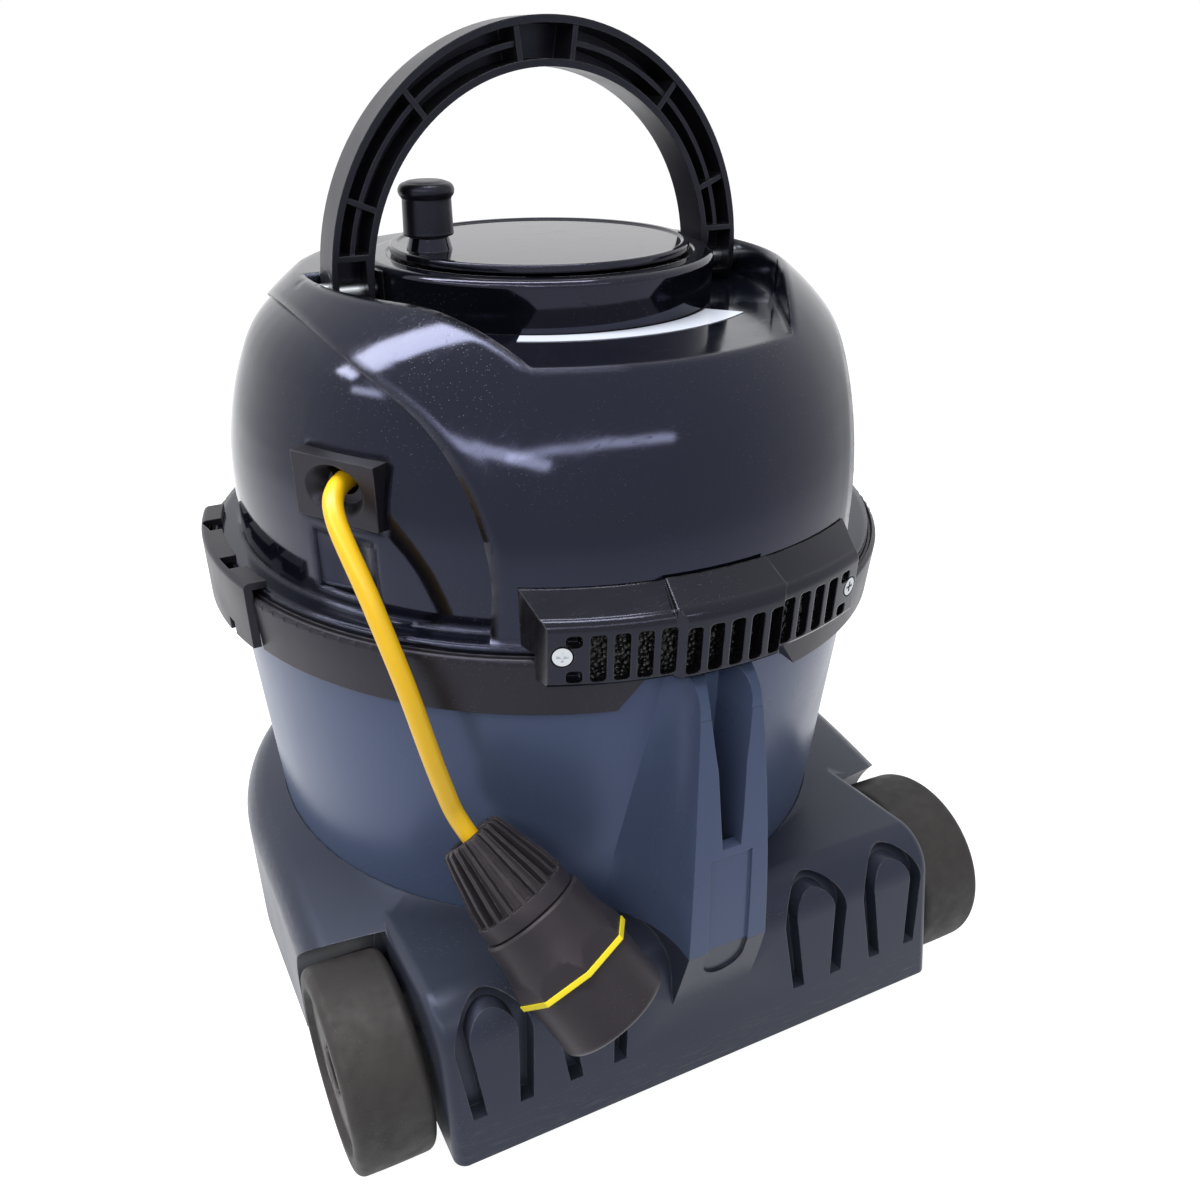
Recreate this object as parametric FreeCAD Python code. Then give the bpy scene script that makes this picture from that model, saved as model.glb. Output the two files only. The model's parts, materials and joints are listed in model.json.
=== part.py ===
"""Canister shop vacuum with a hand-wound cable reel, modelled piece by piece.

Everything is drawn round the drum's axis (x = y = 0) with the floor at z = 0 and the rear
of the machine towards +Y, and is moved along Y by AXIS_Y when it is saved, so that the
origin lies under the middle of the whole object. Sizes are in millimetres.
"""
import FreeCAD, Part
import math
import os
from FreeCAD import Placement, Rotation, Vector

# ---------------------------------------------------------------- overall plan
FRONT_R = 181.0          # round front of the trolley, from the drum axis
REAR_Y = 200.0           # foot of the trolley's rear wall
SIDE_X = 179.0           # half width of the side skirts at the wheel arches
BLOCK_X = 139.0          # half width of the rear block between the wheels
AXIS_Y = -(REAR_Y - FRONT_R) / 2
SHELL = 3.0              # moulded wall
GAP = 0.3                # clearance between pieces that do not touch
FIT = 0.05               # radial clearance of a running fit

# ---------------------------------------------------------------- trolley
SKIRT_Z = 20.0           # lower edge of the front skirt
REAR_BOTTOM_Z = 29.0     # lower edge of the rear wall
DECK_Z = 66.0            # floor that the drum stands on
ROOF_Z = 107.0           # trolley top where it meets the drum
ROOF_SLOPE = 0.28        # fall of the top towards the skirt
SKIRT_ROUND = 20.0
SHELF_Z = 109.0          # top of the rear block
SHELF_FALL = 8.0         # and how much lower it starts, beside the drum
WALL_LEAN = 12.0         # degrees, rear wall from upright
WALL_ROUND = 25.0        # rounding between shelf and rear wall
BLOCK_EDGE = 6.0         # rounding of the rear block's side edges
GROOVE_X = (64.0, 113.0)
GROOVE_TOP_Z = 107.5
GROOVE_FOOT_Z = 52.0
GROOVE_HALF = 19.0
GROOVE_FOOT_HALF = 15.0
GROOVE_W = 7.5
GROOVE_CROWN_W = 4.8     # width at the crown of the horseshoe
GROOVE_DEPTH = 8.0

# ---------------------------------------------------------------- wheels
AXLE_Y = 139.0
WHEEL_R = 50.0
WHEEL_IN_X = 142.5
WHEEL_OUT_X = 181.0
TYRE_IN_R = 38.5
AXLE_R = 6.0
ARCH_R = 57.0
CASTOR_R = 19.0
CASTOR_W = 18.0
CASTOR_SWIVEL_R = 144.0  # pivots, from the drum axis
CASTOR_ANGLE = 39.0      # degrees, pivots, from the front
CASTOR_TRAIL = 14.0
CASTOR_STEM_R = 4.0
CASTOR_PIN_R = 2.5
CASTOR_CROWN_Z = 45.5    # top of the fork's crown

# ---------------------------------------------------------------- drum and band
DRUM_FOOT_R = 154.0
DRUM_TOP_R = 165.3
DRUM_TOP_Z = 255.7
DRUM_WALL = 3.2
BAND_Z = 233.0
BAND_TOP_Z = 259.0
BAND_R = 172.0
BAND_EDGE_R = 173.2
BAND_LIP_R = 159.0
BAND_SEAT_Z = 252.0      # step that the filter frame hangs on
CUT_HALF = 45.0          # rear cut-away of the band, at its lower edge
CUT_TOP_HALF = 33.0
CUT_Z = 248.0
COLUMN_Y = (181.0, 193.0, 199.5, 192.0, 184.0)
COLUMN_Z = (250.5, 177.0, SHELF_Z + GAP, 75.0, 46.0)
COLUMN_HALF = (14.0, 18.5, 21.0, 22.0, 22.0)
COLUMN_ROOT = 38.0
COLUMN_ROUND = 18.0      # rounding of the column's top, seen from the side
DOCK_HALF = 4.8          # half width of the dock slot's floor
DOCK_FLOOR_Y = 166.0
DOCK_FOOT_Z = 165.0
DOCK_POCKET_Z = 140.0    # foot of the pocket behind the slot's sill
DOCK_SILL = 4.0
DOCK_FLARE = ((255.7, 180.0, 11.5), (205.0, 187.5, 7.0), (165.0, 194.0, 4.8))
PANEL_HALF = 11.0
PANEL_TOP_Z = 161.0
PANEL_FOOT_Z = 89.0
PANEL_DEPTH = 1.5

# ---------------------------------------------------------------- head
FLANGE_R = 168.5
FLANGE_T = 3.5
FOOT_R = 166.0
SPRING_Z = 285.0         # where the domes start to curve in
SADDLE_R = 165.0
SADDLE_ARC = 115.0
CHEEK_R = 156.5
CHEEK_ARC = 150.0
CHEEK_BREAK_Z = 350.0
CHEEK_TOP_ARC = 45.0
TOP_Z = 380.5
TOP_ROUND = 8.0
RECESS_HALF = 140.0      # side recess: arch outline seen from the side
RECESS_APEX_Z = 372.0
RECESS_CROWN = 240.0
RECESS_SHOULDER = 74.0
RECESS_IN_X = 60.0
LEDGE_Z = 363.5
POCKET_R = 111.5
POCKET_FRONT_Y = -12.5
MOUTH_WIDE = (97.0, 56.0)
MOUTH_EDGE = (58.0, 122.7)
SPOOL_Z = 301.0
SPOOL_TOP_Z = 352.5
COVER_R = 82.0
COVER_Z = 385.0
DISC_R = 70.5
DISC_Z = 386.0
DISC_T = 3.2
KNOB_AT = 55.0           # crank radius
KNOB_R = 12.0
KNOB_Z = 394.5
KNOB_TOP_Z = 417.0

# ---------------------------------------------------------------- carry handle
HANDLE_Z = 374.0         # pivot height and centre of the hoop
HANDLE_R = 104.0
HANDLE_IN_R = 85.0
HANDLE_HALF = 10.0       # half thickness, front to rear
HANDLE_WALL = 3.0
PIVOT_R = 4.0
PIVOT_BOSS_HALF = 11.0

# ---------------------------------------------------------------- grille and cable outlet
GRILLE_R = BAND_EDGE_R + 6.8
GRILLE_WALL = 3.5
GRILLE_FOOT_Z = 251.0
GRILLE_BROW_Z = 275.0    # top of the upright face
GRILLE_TOP_Z = 287.5
GRILLE_SPAN = 57.0       # degrees, where it meets the head
GRILLE_FACE_SPAN = 49.2  # and at its face
GRILLE_END = 8.0         # degrees of solid end cheek
GRILLE_SCREW_ANGLE = 22.7
GRILLE_SCREW_Z = 265.0
STEP_SPAN = 16.4         # degrees of the raised middle
STEP_FACE_SPAN = 14.2
STEP_R = GRILLE_R + 3.2
BAR_PITCH = 3.03         # degrees between slots
SLOT_COUNT = 13
SLOT_W = 6.6
SLOT_CORNER = 1.8
SLOT_Z = (253.0, 273.8)
SLOT_SHORT = 5.2         # the short slots above and below each screw
OUTLET_ANGLE = 57.0
OUTLET_Z = 315.5
OUTLET_SIZE = (43.0, 27.0)
OUTLET_FACE_R = 157.0
OUTLET_BACK_R = 135.5
OUTLET_SEAT = 2.5        # closed back wall that the cord's end meets
OUTLET_RISE = 3.5        # throat above the middle of the bezel
OUTLET_MOUTH = (15.5, 11.0)
THROAT_R = 7.0

# ---------------------------------------------------------------- clips
CLIP_R = 176.0
CLIP_WALL = 3.7
CLIP_HALF_Y = 50.0
CLIP_FOOT_Z = 234.3
CLIP_HOOK_Z = 262.9
CLIP_TOP_Z = 266.5
CLIP_ROUND = 3.0
CLIP_SKIN = 2.4          # outer skin left beside the hook's pockets
CLIP_PIN_X = CLIP_R - 6.5
CLIP_PIN_Z = 236.5
CLIP_PIN_R = 1.5
CLIP_WEB_R = CLIP_R - 9.5
CLIP_KNUCKLE_R = 2.9
CLIP_LUG_Y = (26.5, 32.5)
CLIP_EYE_W = 5.0
CLIP_PIN_HALF = 37.5

# ---------------------------------------------------------------- inlet, motor, filter
INLET_Z = 165.0
INLET_BORE_R = 25.4
INLET_FACE_Y = -180.0
INLET_PAD_Y = -165.0
MOTOR_R = 70.0
MOTOR_FOOT_Z = 190.0
SHAFT_R = 4.0
SPINDLE_R = 7.0

# ---------------------------------------------------------------- cord and plug
CORD_D = 8.5
PLUG_MOUTH = Vector(107.0, 152.0, 179.0)
PLUG_AIM = Vector(-0.404, 0.610, -0.685).normalize()
PLUG_SOCKET = 12.0       # how far the cord goes into the gland
OUTLET_LEAD = 11.5       # first straight run, along the outlet
PLUG_LEAD = 7.0          # and how far before the gland it already points along it
GLAND_LENGTH = 42.0
GLAND_END_R = 22.6
GLAND_RIBS = 18
GRIP_END = 70.0          # the plug's parts, from the gland's mouth
GRIP_FLAT = 27.0         # half width of the eight-sided grip
RING_END = 72.4
FRONT_END = 100.0
SHROUD_WALL = 4.4
PIN_FACE = 80.0
PLUG_FRONT_R = 26.2
PIN_LENGTH = 16.0
LATCH_TURN = 112.5       # degrees round the plug
CORD_ROUTE = (
    (133.6, 90.2, 316.4), (136.0, 99.0, 310.4),
    (134.8, 108.6, 301.0), (131.8, 119.0, 287.5), (128.2, 128.3, 269.5), (123.6, 137.0, 247.5),
    (119.4, 142.6, 224.0), (114.9, 145.6, 203.0),
)


# ================================================================ drawing helpers
def rz(r, z):
    return Vector(r, 0, z)


def yz(y, z):
    return Vector(0, y, z)


def xy(x, y):
    return Vector(x, y, 0)


def outline(plane, start, *steps):
    """Closed face: a step is an end point, or a pair of mid point and end point for an arc."""
    edges = []
    here = plane(*start)
    for step in steps + (start,):
        if isinstance(step[0], tuple):
            end = plane(*step[1])
            edges.append(Part.Arc(here, plane(*step[0]), end).toShape())
        else:
            end = plane(*step)
            if here.distanceToPoint(end) > 1e-6:
                edges.append(Part.makeLine(here, end))
        here = end
    return Part.Face(Part.Wire(edges))


def on_arc(centre, radius, degrees):
    a = math.radians(degrees)
    return (centre[0] + radius * math.cos(a), centre[1] + radius * math.sin(a))


def lathe(start, *steps):
    """Solid of revolution round the drum axis from points (radius, height)."""
    return outline(rz, start, *steps).revolve(Vector(0, 0, 0), Vector(0, 0, 1), 360)


def sector(span, start, *steps):
    """The same over a span of degrees, centred on the rear."""
    solid = outline(rz, start, *steps).revolve(Vector(0, 0, 0), Vector(0, 0, 1), span)
    return turned(solid, 90 - span / 2)


def turned(shape, degrees, centre=Vector(0, 0, 0), axis=Vector(0, 0, 1)):
    copy = shape.copy()
    copy.rotate(centre, axis, degrees)
    return copy


def moved(shape, x=0.0, y=0.0, z=0.0):
    copy = shape.copy()
    copy.translate(Vector(x, y, z))
    return copy


def mirrored(shape):
    """Copy on the other side of the machine."""
    return shape.mirror(Vector(0, 0, 0), Vector(1, 0, 0))


def disc(r, z0, z1, x=0.0, y=0.0):
    return Part.makeCylinder(r, z1 - z0, Vector(x, y, z0))


def ring(r_out, r_in, z0, z1, x=0.0, y=0.0):
    return disc(r_out, z0, z1, x, y).cut(disc(r_in, z0 - 1, z1 + 1, x, y))


def block(x0, x1, y0, y1, z0, z1):
    return Part.makeBox(x1 - x0, y1 - y0, z1 - z0, Vector(x0, y0, z0))


def rod_x(r, x0, x1, y, z):
    return Part.makeCylinder(r, x1 - x0, Vector(x0, y, z), Vector(1, 0, 0))


def rod_y(r, y0, y1, x, z):
    return Part.makeCylinder(r, y1 - y0, Vector(x, y0, z), Vector(0, 1, 0))


def polar(r, degrees, z):
    """Point at an angle from the rear, turning towards +X."""
    a = math.radians(degrees)
    return Vector(r * math.sin(a), r * math.cos(a), z)


def joined(shapes):
    """One solid from shapes that meet or overlap."""
    return shapes[0].fuse(shapes[1:]).removeSplitter()


def save(name, shape):
    """Write a node's solids, moved so that the origin is under the middle."""
    solids = moved(shape, y=AXIS_Y).Solids
    result = solids[0] if len(solids) == 1 else Part.Compound(solids)
    if not solids or not result.isValid():
        raise ValueError("bad solid: " + name)
    result.exportStep("parts/" + name + ".step")
    print("%-16s %2d solid  %9.0f mm3" % (name, len(solids), result.Volume))


# ================================================================ trolley
def drum_r(z):
    """Outer radius of the tapered drum."""
    return DRUM_FOOT_R + (DRUM_TOP_R - DRUM_FOOT_R) * (z - DECK_Z) / (DRUM_TOP_Z - DECK_Z)


def drum_form(z0, z1, grow=0.0):
    return Part.makeCone(drum_r(z0) + grow, drum_r(z1) + grow, z1 - z0, Vector(0, 0, z0))


def wall_y(z, inset=0.0):
    """Rear face of the leaning rear wall."""
    lean = math.radians(WALL_LEAN)
    return REAR_Y - (z - REAR_BOTTOM_Z) * math.tan(lean) - inset / math.cos(lean)


def front_form(inset=0.0):
    """Round front and side skirts, with the top falling away from the drum."""
    z0 = SKIRT_Z - inset * 2
    half = SIDE_X - inset
    r = FRONT_R - inset
    touch = math.degrees(math.atan2(AXLE_Y, half) - math.acos(r / math.hypot(half, AXLE_Y)))
    right = on_arc((0, 0), r, touch)
    plan = outline(xy, (half, AXLE_Y), right, ((0, -r), (-right[0], right[1])), (-half, AXLE_Y))
    body = moved(plan.extrude(Vector(0, 0, ROOF_Z + 20 - z0)), z=z0)
    foot_r = drum_r(ROOF_Z)
    reach = FRONT_R * 1.5
    low = ROOF_Z - (reach - foot_r) * ROOF_SLOPE
    roof = lathe((0, z0), (reach, z0), (reach, low - inset), (foot_r, ROOF_Z - inset),
                 (0, ROOF_Z - inset))
    body = body.common(roof)
    rounding = min(SKIRT_ROUND, (FRONT_R - foot_r) * 0.9)
    edges = [e for e in body.Edges
             if e.BoundBox.ZMin > low and e.BoundBox.YMin < AXLE_Y - 1
             and math.hypot(*e.valueAt(e.FirstParameter)[:2]) > (FRONT_R + foot_r) / 2]
    return body.makeFillet(rounding - inset, edges)


def round_centre():
    """Centre of the rounding between the shelf and the rear wall."""
    cz = SHELF_Z - WALL_ROUND
    return wall_y(cz) - WALL_ROUND / math.cos(math.radians(WALL_LEAN)), cz


def rear_form(inset=0.0):
    """Rear block between the wheels, drawn from the side."""
    cy, cz = round_centre()
    r = WALL_ROUND - inset
    mid = on_arc((cy, cz), r, (90 + WALL_LEAN) / 2)
    end = on_arc((cy, cz), r, WALL_LEAN)
    z0 = REAR_BOTTOM_Z - inset * 2
    front_y = AXLE_Y - ARCH_R
    side = outline(yz, (front_y, z0), (wall_y(z0, inset), z0), end,
                   (mid, (cy, SHELF_Z - inset)), (front_y, SHELF_Z - SHELF_FALL - inset))
    half = BLOCK_X - inset
    body = moved(side.extrude(Vector(2 * half, 0, 0)), x=-half)
    if inset >= BLOCK_EDGE:
        return body
    edges = [e for e in body.Edges
             if abs(abs(e.CenterOfMass.x) - half) < 0.01 and e.CenterOfMass.y > cy
             and e.CenterOfMass.z > REAR_BOTTOM_Z + 1]
    return body.makeFillet(BLOCK_EDGE - inset, edges)


def column_form(first, last, inset=0.0):
    """Rear dock column with hollow flanks, lofted between level sections."""
    wires = []
    for y, z, half in list(zip(COLUMN_Y, COLUMN_Z, COLUMN_HALF))[first:last]:
        root = COLUMN_ROOT + half - COLUMN_HALF[0]
        root_y = drum_r(DECK_Z) - DRUM_WALL - 2
        y -= inset
        bend = ((half + (root - half) * 0.2), (y - (y - root_y) * 0.55))
        corners = [Vector(-root, root_y, z), Vector(-half, y, z), Vector(half, y, z),
                   Vector(root, root_y, z)]
        wires.append(Part.Wire([
            Part.Arc(corners[0], Vector(-bend[0], bend[1], z), corners[1]).toShape(),
            Part.makeLine(corners[1], corners[2]),
            Part.Arc(corners[2], Vector(bend[0], bend[1], z), corners[3]).toShape(),
            Part.makeLine(corners[3], corners[0])]))
    return Part.makeLoft(wires, True, False)


def panel_cut(first, last):
    """Shallow rounded panel down the face of the column."""
    r = PANEL_HALF
    zc = PANEL_FOOT_Z + r
    y = COLUMN_Y[0] - 20
    face = outline(lambda x, z: Vector(x, y, z), (-r, zc), ((0, PANEL_FOOT_Z), (r, zc)),
                   (r, PANEL_TOP_Z), (-r, PANEL_TOP_Z))
    return face.extrude(Vector(0, 60, 0)).cut(column_form(first, last, PANEL_DEPTH))


def groove_form(x, narrow, crown=0.0, back=0.0):
    """Horseshoe outline of a tool-parking groove, or of the tongue inside it."""
    half = GROOVE_HALF - narrow
    foot = GROOVE_FOOT_HALF - narrow
    zc = GROOVE_TOP_Z - GROOVE_HALF
    z0 = GROOVE_FOOT_Z - abs(narrow)
    y = round_centre()[0] - back
    face = outline(lambda a, b: Vector(a, y, b), (x - foot, z0), (x - half, zc),
                   ((x, zc + half + crown), (x + half, zc)), (x + foot, z0))
    return face.extrude(Vector(0, REAR_Y - y + 10, 0))


def castor_at(side):
    return polar(CASTOR_SWIVEL_R, side * (180 - CASTOR_ANGLE), 0)


def arch_form(grow=0.0):
    """Space taken by both rear wheels: a round arch, open to the rear."""
    x = BLOCK_X - grow
    r = ARCH_R + grow
    arch = rod_x(r, x, x + 80, AXLE_Y, WHEEL_R)
    behind = block(x, x + 80, AXLE_Y, AXLE_Y + 80, -10, WHEEL_R + r)
    below = block(x, x + 80, AXLE_Y - r, AXLE_Y + 80, -10, WHEEL_R)
    arch = joined([arch, behind, below])
    return Part.Compound([arch, mirrored(arch)])


def groove_cuts():
    """Horseshoe grooves in the rear wall, which leave tongues for parking tools."""
    floor = moved(rear_form(), y=-GROOVE_DEPTH)
    crown = GROOVE_W - GROOVE_CROWN_W
    return [groove_form(s * x, 0).cut(groove_form(s * x, GROOVE_W, crown)).cut(floor)
            for s in (-1, 1) for x in GROOVE_X]


def groove_backs():
    """Thicker wall behind the grooves."""
    wall = rear_form(SHELL / 2).cut(moved(rear_form(), y=-GROOVE_DEPTH - SHELL))
    return [groove_form(s * x, -SHELL, back=GROOVE_DEPTH).common(wall)
            for s in (-1, 1) for x in GROOVE_X]


def base_trolley():
    body = joined([front_form(), rear_form(), column_form(2, 5)])
    cavity = joined([front_form(SHELL), rear_form(SHELL)])
    cavity = cavity.cut([drum_form(DECK_Z - SHELL, DECK_Z + 60, SHELL + GAP), arch_form(SHELL)])
    cavity = cavity.cut(groove_backs())
    body = body.cut([cavity, arch_form(), drum_form(DECK_Z, DECK_Z + 80, GAP)])
    body = body.cut(groove_cuts() + [panel_cut(2, 5)])
    boss_in = BLOCK_X - 26
    adds = []
    for side in (-1, 1):
        at = castor_at(side)
        adds.append(disc(9, CASTOR_CROWN_Z + 1, DECK_Z - SHELL / 2, at.x, at.y))
        boss = rod_x(AXLE_R + 4, boss_in, BLOCK_X - SHELL / 2, AXLE_Y, WHEEL_R)
        web = block(boss_in, boss_in + SHELL, AXLE_Y - 8, AXLE_Y + 8, WHEEL_R, DECK_Z - SHELL / 2)
        adds += [boss, web] if side > 0 else [mirrored(boss), mirrored(web)]
    body = joined([body] + adds)
    holes = [rod_x(AXLE_R + FIT, -BLOCK_X - 5, BLOCK_X + 5, AXLE_Y, WHEEL_R)]
    for side in (-1, 1):
        at = castor_at(side)
        holes.append(disc(CASTOR_STEM_R + FIT, CASTOR_CROWN_Z, DECK_Z - SHELL, at.x, at.y))
    holes += [disc(2.2, DECK_Z - 8, DECK_Z + 2, p.x, p.y) for p in screw_points(80)]
    return body.cut(holes)


def screw_points(radius, count=4):
    return [polar(radius, 45 + i * 360 / count, 0) for i in range(count)]


def base_screws():
    """Four pan-head screws that hold the drum down on the deck."""
    parts = []
    for p in screw_points(80):
        head = disc(4.5, DECK_Z - SHELL - 3, DECK_Z - SHELL, p.x, p.y)
        parts.append(head.fuse(disc(2.0, DECK_Z - SHELL - 1, DECK_Z + 11, p.x, p.y)))
    return Part.Compound(parts)


# ================================================================ wheels and castors
def wheel_hub():
    """Disc wheel drawn about X with a dished outer face, right-hand side of the axle."""
    x0 = WHEEL_IN_X
    x1 = WHEEL_OUT_X
    r = TYRE_IN_R
    bore = AXLE_R + FIT
    face = outline(lambda x, y: Vector(x, y, 0), (x0, bore), (x0, 16), (x0 + 6, 18), (x0 + 14, 18),
                   (x0 + 14, r - 4), (x0 + 3, r - 4), (x0 + 3, r), (x1 - 3, r), (x1 - 3, r - 3.5),
                   (x1 - 2.4, 15), (x1 - 3.2, 12.4), (x1 - 9, 12), (x1 - 9, bore))
    hub = face.revolve(Vector(0, 0, 0), Vector(1, 0, 0), 360)
    ribs = [block(x0 + 3, x0 + 15, -1.2, 1.2, 17, r - 3) for _ in range(8)]
    ribs = [turned(rib, i * 45, Vector(0, 0, 0), Vector(1, 0, 0)) for i, rib in enumerate(ribs)]
    return moved(joined([hub] + ribs), y=AXLE_Y, z=WHEEL_R)


def wheel_tyre():
    x0 = WHEEL_IN_X
    x1 = WHEEL_OUT_X
    r0 = TYRE_IN_R
    r = WHEEL_R
    q = 5.0
    face = outline(lambda x, y: Vector(x, y, 0), (x0 + 3, r0), (x0, r0 + 2), (x0, r - q),
                   ((x0 + q * 0.3, r - q * 0.3), (x0 + q, r - 0.2)),
                   (((x0 + x1) / 2, r), (x1 - q, r - 0.2)),
                   ((x1 - q * 0.3, r - q * 0.3), (x1, r - q)), (x1, r0 + 2), (x1 - 3, r0))
    return moved(face.revolve(Vector(0, 0, 0), Vector(1, 0, 0), 360), y=AXLE_Y, z=WHEEL_R)


def rear_axle():
    return rod_x(AXLE_R, -WHEEL_OUT_X + 4, WHEEL_OUT_X - 4, AXLE_Y, WHEEL_R)


def axle_caps():
    """Push-on caps at both ends of the axle, in the hub recesses."""
    x0 = WHEEL_OUT_X - 9 + GAP
    cap = outline(lambda x, y: Vector(x, y, 0), (x0, AXLE_R), (x0, 10.5), (x0 + 5, 10.5),
                  ((x0 + 6.6, 9.6), (x0 + 7.4, 7.5)), (x0 + 8.0, 5), (x0 + 8.0, 0),
                  (WHEEL_OUT_X - 4, 0), (WHEEL_OUT_X - 4, AXLE_R))
    cap = moved(cap.revolve(Vector(0, 0, 0), Vector(1, 0, 0), 360), y=AXLE_Y, z=WHEEL_R)
    return Part.Compound([cap, mirrored(cap)])


def castor_fork():
    """Swivel fork at its own pivot, trailing towards the rear."""
    half = CASTOR_W / 2 + 1
    t = 2.5
    crown = ring(13, 0.01, CASTOR_CROWN_Z - 3.5, CASTOR_CROWN_Z)
    bridge = block(-half - t, half + t, -6, 10, CASTOR_CROWN_Z - 5.5, CASTOR_CROWN_Z - 2)
    stem = disc(CASTOR_STEM_R, CASTOR_CROWN_Z - 4, DECK_Z - SHELL - 1)
    arm = outline(yz, (-8, CASTOR_CROWN_Z - 3), (CASTOR_TRAIL - 6, CASTOR_R - 2),
                  ((CASTOR_TRAIL, CASTOR_R - 6.5), (CASTOR_TRAIL + 6, CASTOR_R - 1)),
                  (12, CASTOR_CROWN_Z - 3))
    arm = arm.extrude(Vector(t, 0, 0))
    fork = joined([crown, bridge, stem, moved(arm, x=half), moved(arm, x=-half - t)])
    return fork.cut(rod_x(CASTOR_PIN_R, -20, 20, CASTOR_TRAIL, CASTOR_R))


def castor_pin():
    half = CASTOR_W / 2 + 1 + 2.5
    return rod_x(CASTOR_PIN_R, -half - 0.8, half + 0.8, CASTOR_TRAIL, CASTOR_R)


def castor_wheel():
    half = CASTOR_W / 2
    face = outline(lambda x, y: Vector(x, y, 0), (-half, CASTOR_PIN_R + FIT), (-half, 7),
                   (-half + 2.5, 9), (-half + 2.5, CASTOR_R - 6), (-half + 0.8, CASTOR_R - 4),
                   ((0, CASTOR_R), (half - 0.8, CASTOR_R - 4)), (half - 2.5, CASTOR_R - 6),
                   (half - 2.5, 9), (half, 7), (half, CASTOR_PIN_R + FIT))
    wheel = face.revolve(Vector(0, 0, 0), Vector(1, 0, 0), 360)
    return moved(wheel, y=CASTOR_TRAIL, z=CASTOR_R)


# ================================================================ drum, band, inlet
def dock_slot():
    """Flared slot down the column, and the pocket behind its sill."""
    wires = []
    y0 = DOCK_FLOOR_Y
    y1 = REAR_Y + 10
    for z, face_y, half in DOCK_FLARE:
        wide = DOCK_HALF + (half - DOCK_HALF) * (y1 - y0) / (face_y - y0)
        points = [Vector(-DOCK_HALF, y0, z), Vector(DOCK_HALF, y0, z), Vector(wide, y1, z),
                  Vector(-wide, y1, z)]
        wires.append(Part.makePolygon(points + points[:1]))
    pocket = block(-DOCK_HALF, DOCK_HALF, y0, DOCK_FLARE[-1][1] - PANEL_DEPTH - DOCK_SILL,
                   DOCK_POCKET_Z, DOCK_FOOT_Z)
    return joined([Part.makeLoft(wires, True, True), pocket])


def column_crown():
    """What is taken off above the rounded top of the column."""
    r = COLUMN_ROUND
    y = drum_r(CUT_Z) + 1.6
    z = CUT_Z - 0.6 - r
    corner = block(-COLUMN_ROOT * 2, COLUMN_ROOT * 2, y, REAR_Y + 10, z, CUT_Z + 10)
    return corner.cut(rod_x(r, -COLUMN_ROOT * 2, COLUMN_ROOT * 2, y, z))


def drum():
    body = drum_form(DECK_Z, DRUM_TOP_Z)
    body = joined([body, column_form(0, 3),
                   rod_y(38, INLET_PAD_Y, -120, 0, INLET_Z)])
    body = body.cut(drum_form(DECK_Z + DRUM_WALL, DRUM_TOP_Z + 5, -DRUM_WALL))
    cuts = [rod_y(30, INLET_PAD_Y - 5, -110, 0, INLET_Z), panel_cut(0, 3),
            dock_slot(), column_crown(),
            ring(BAND_EDGE_R + 60, drum_r(BAND_Z) + 0.6, CUT_Z - 0.6, DRUM_TOP_Z + 5)]
    body = body.cut(cuts)
    bosses = [disc(6, DECK_Z + 1, DECK_Z + 14, p.x, p.y) for p in screw_points(80)]
    body = joined([body] + bosses)
    return body.cut([disc(2.0, DECK_Z - 2, DECK_Z + 11, p.x, p.y) for p in screw_points(80)])


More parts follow.
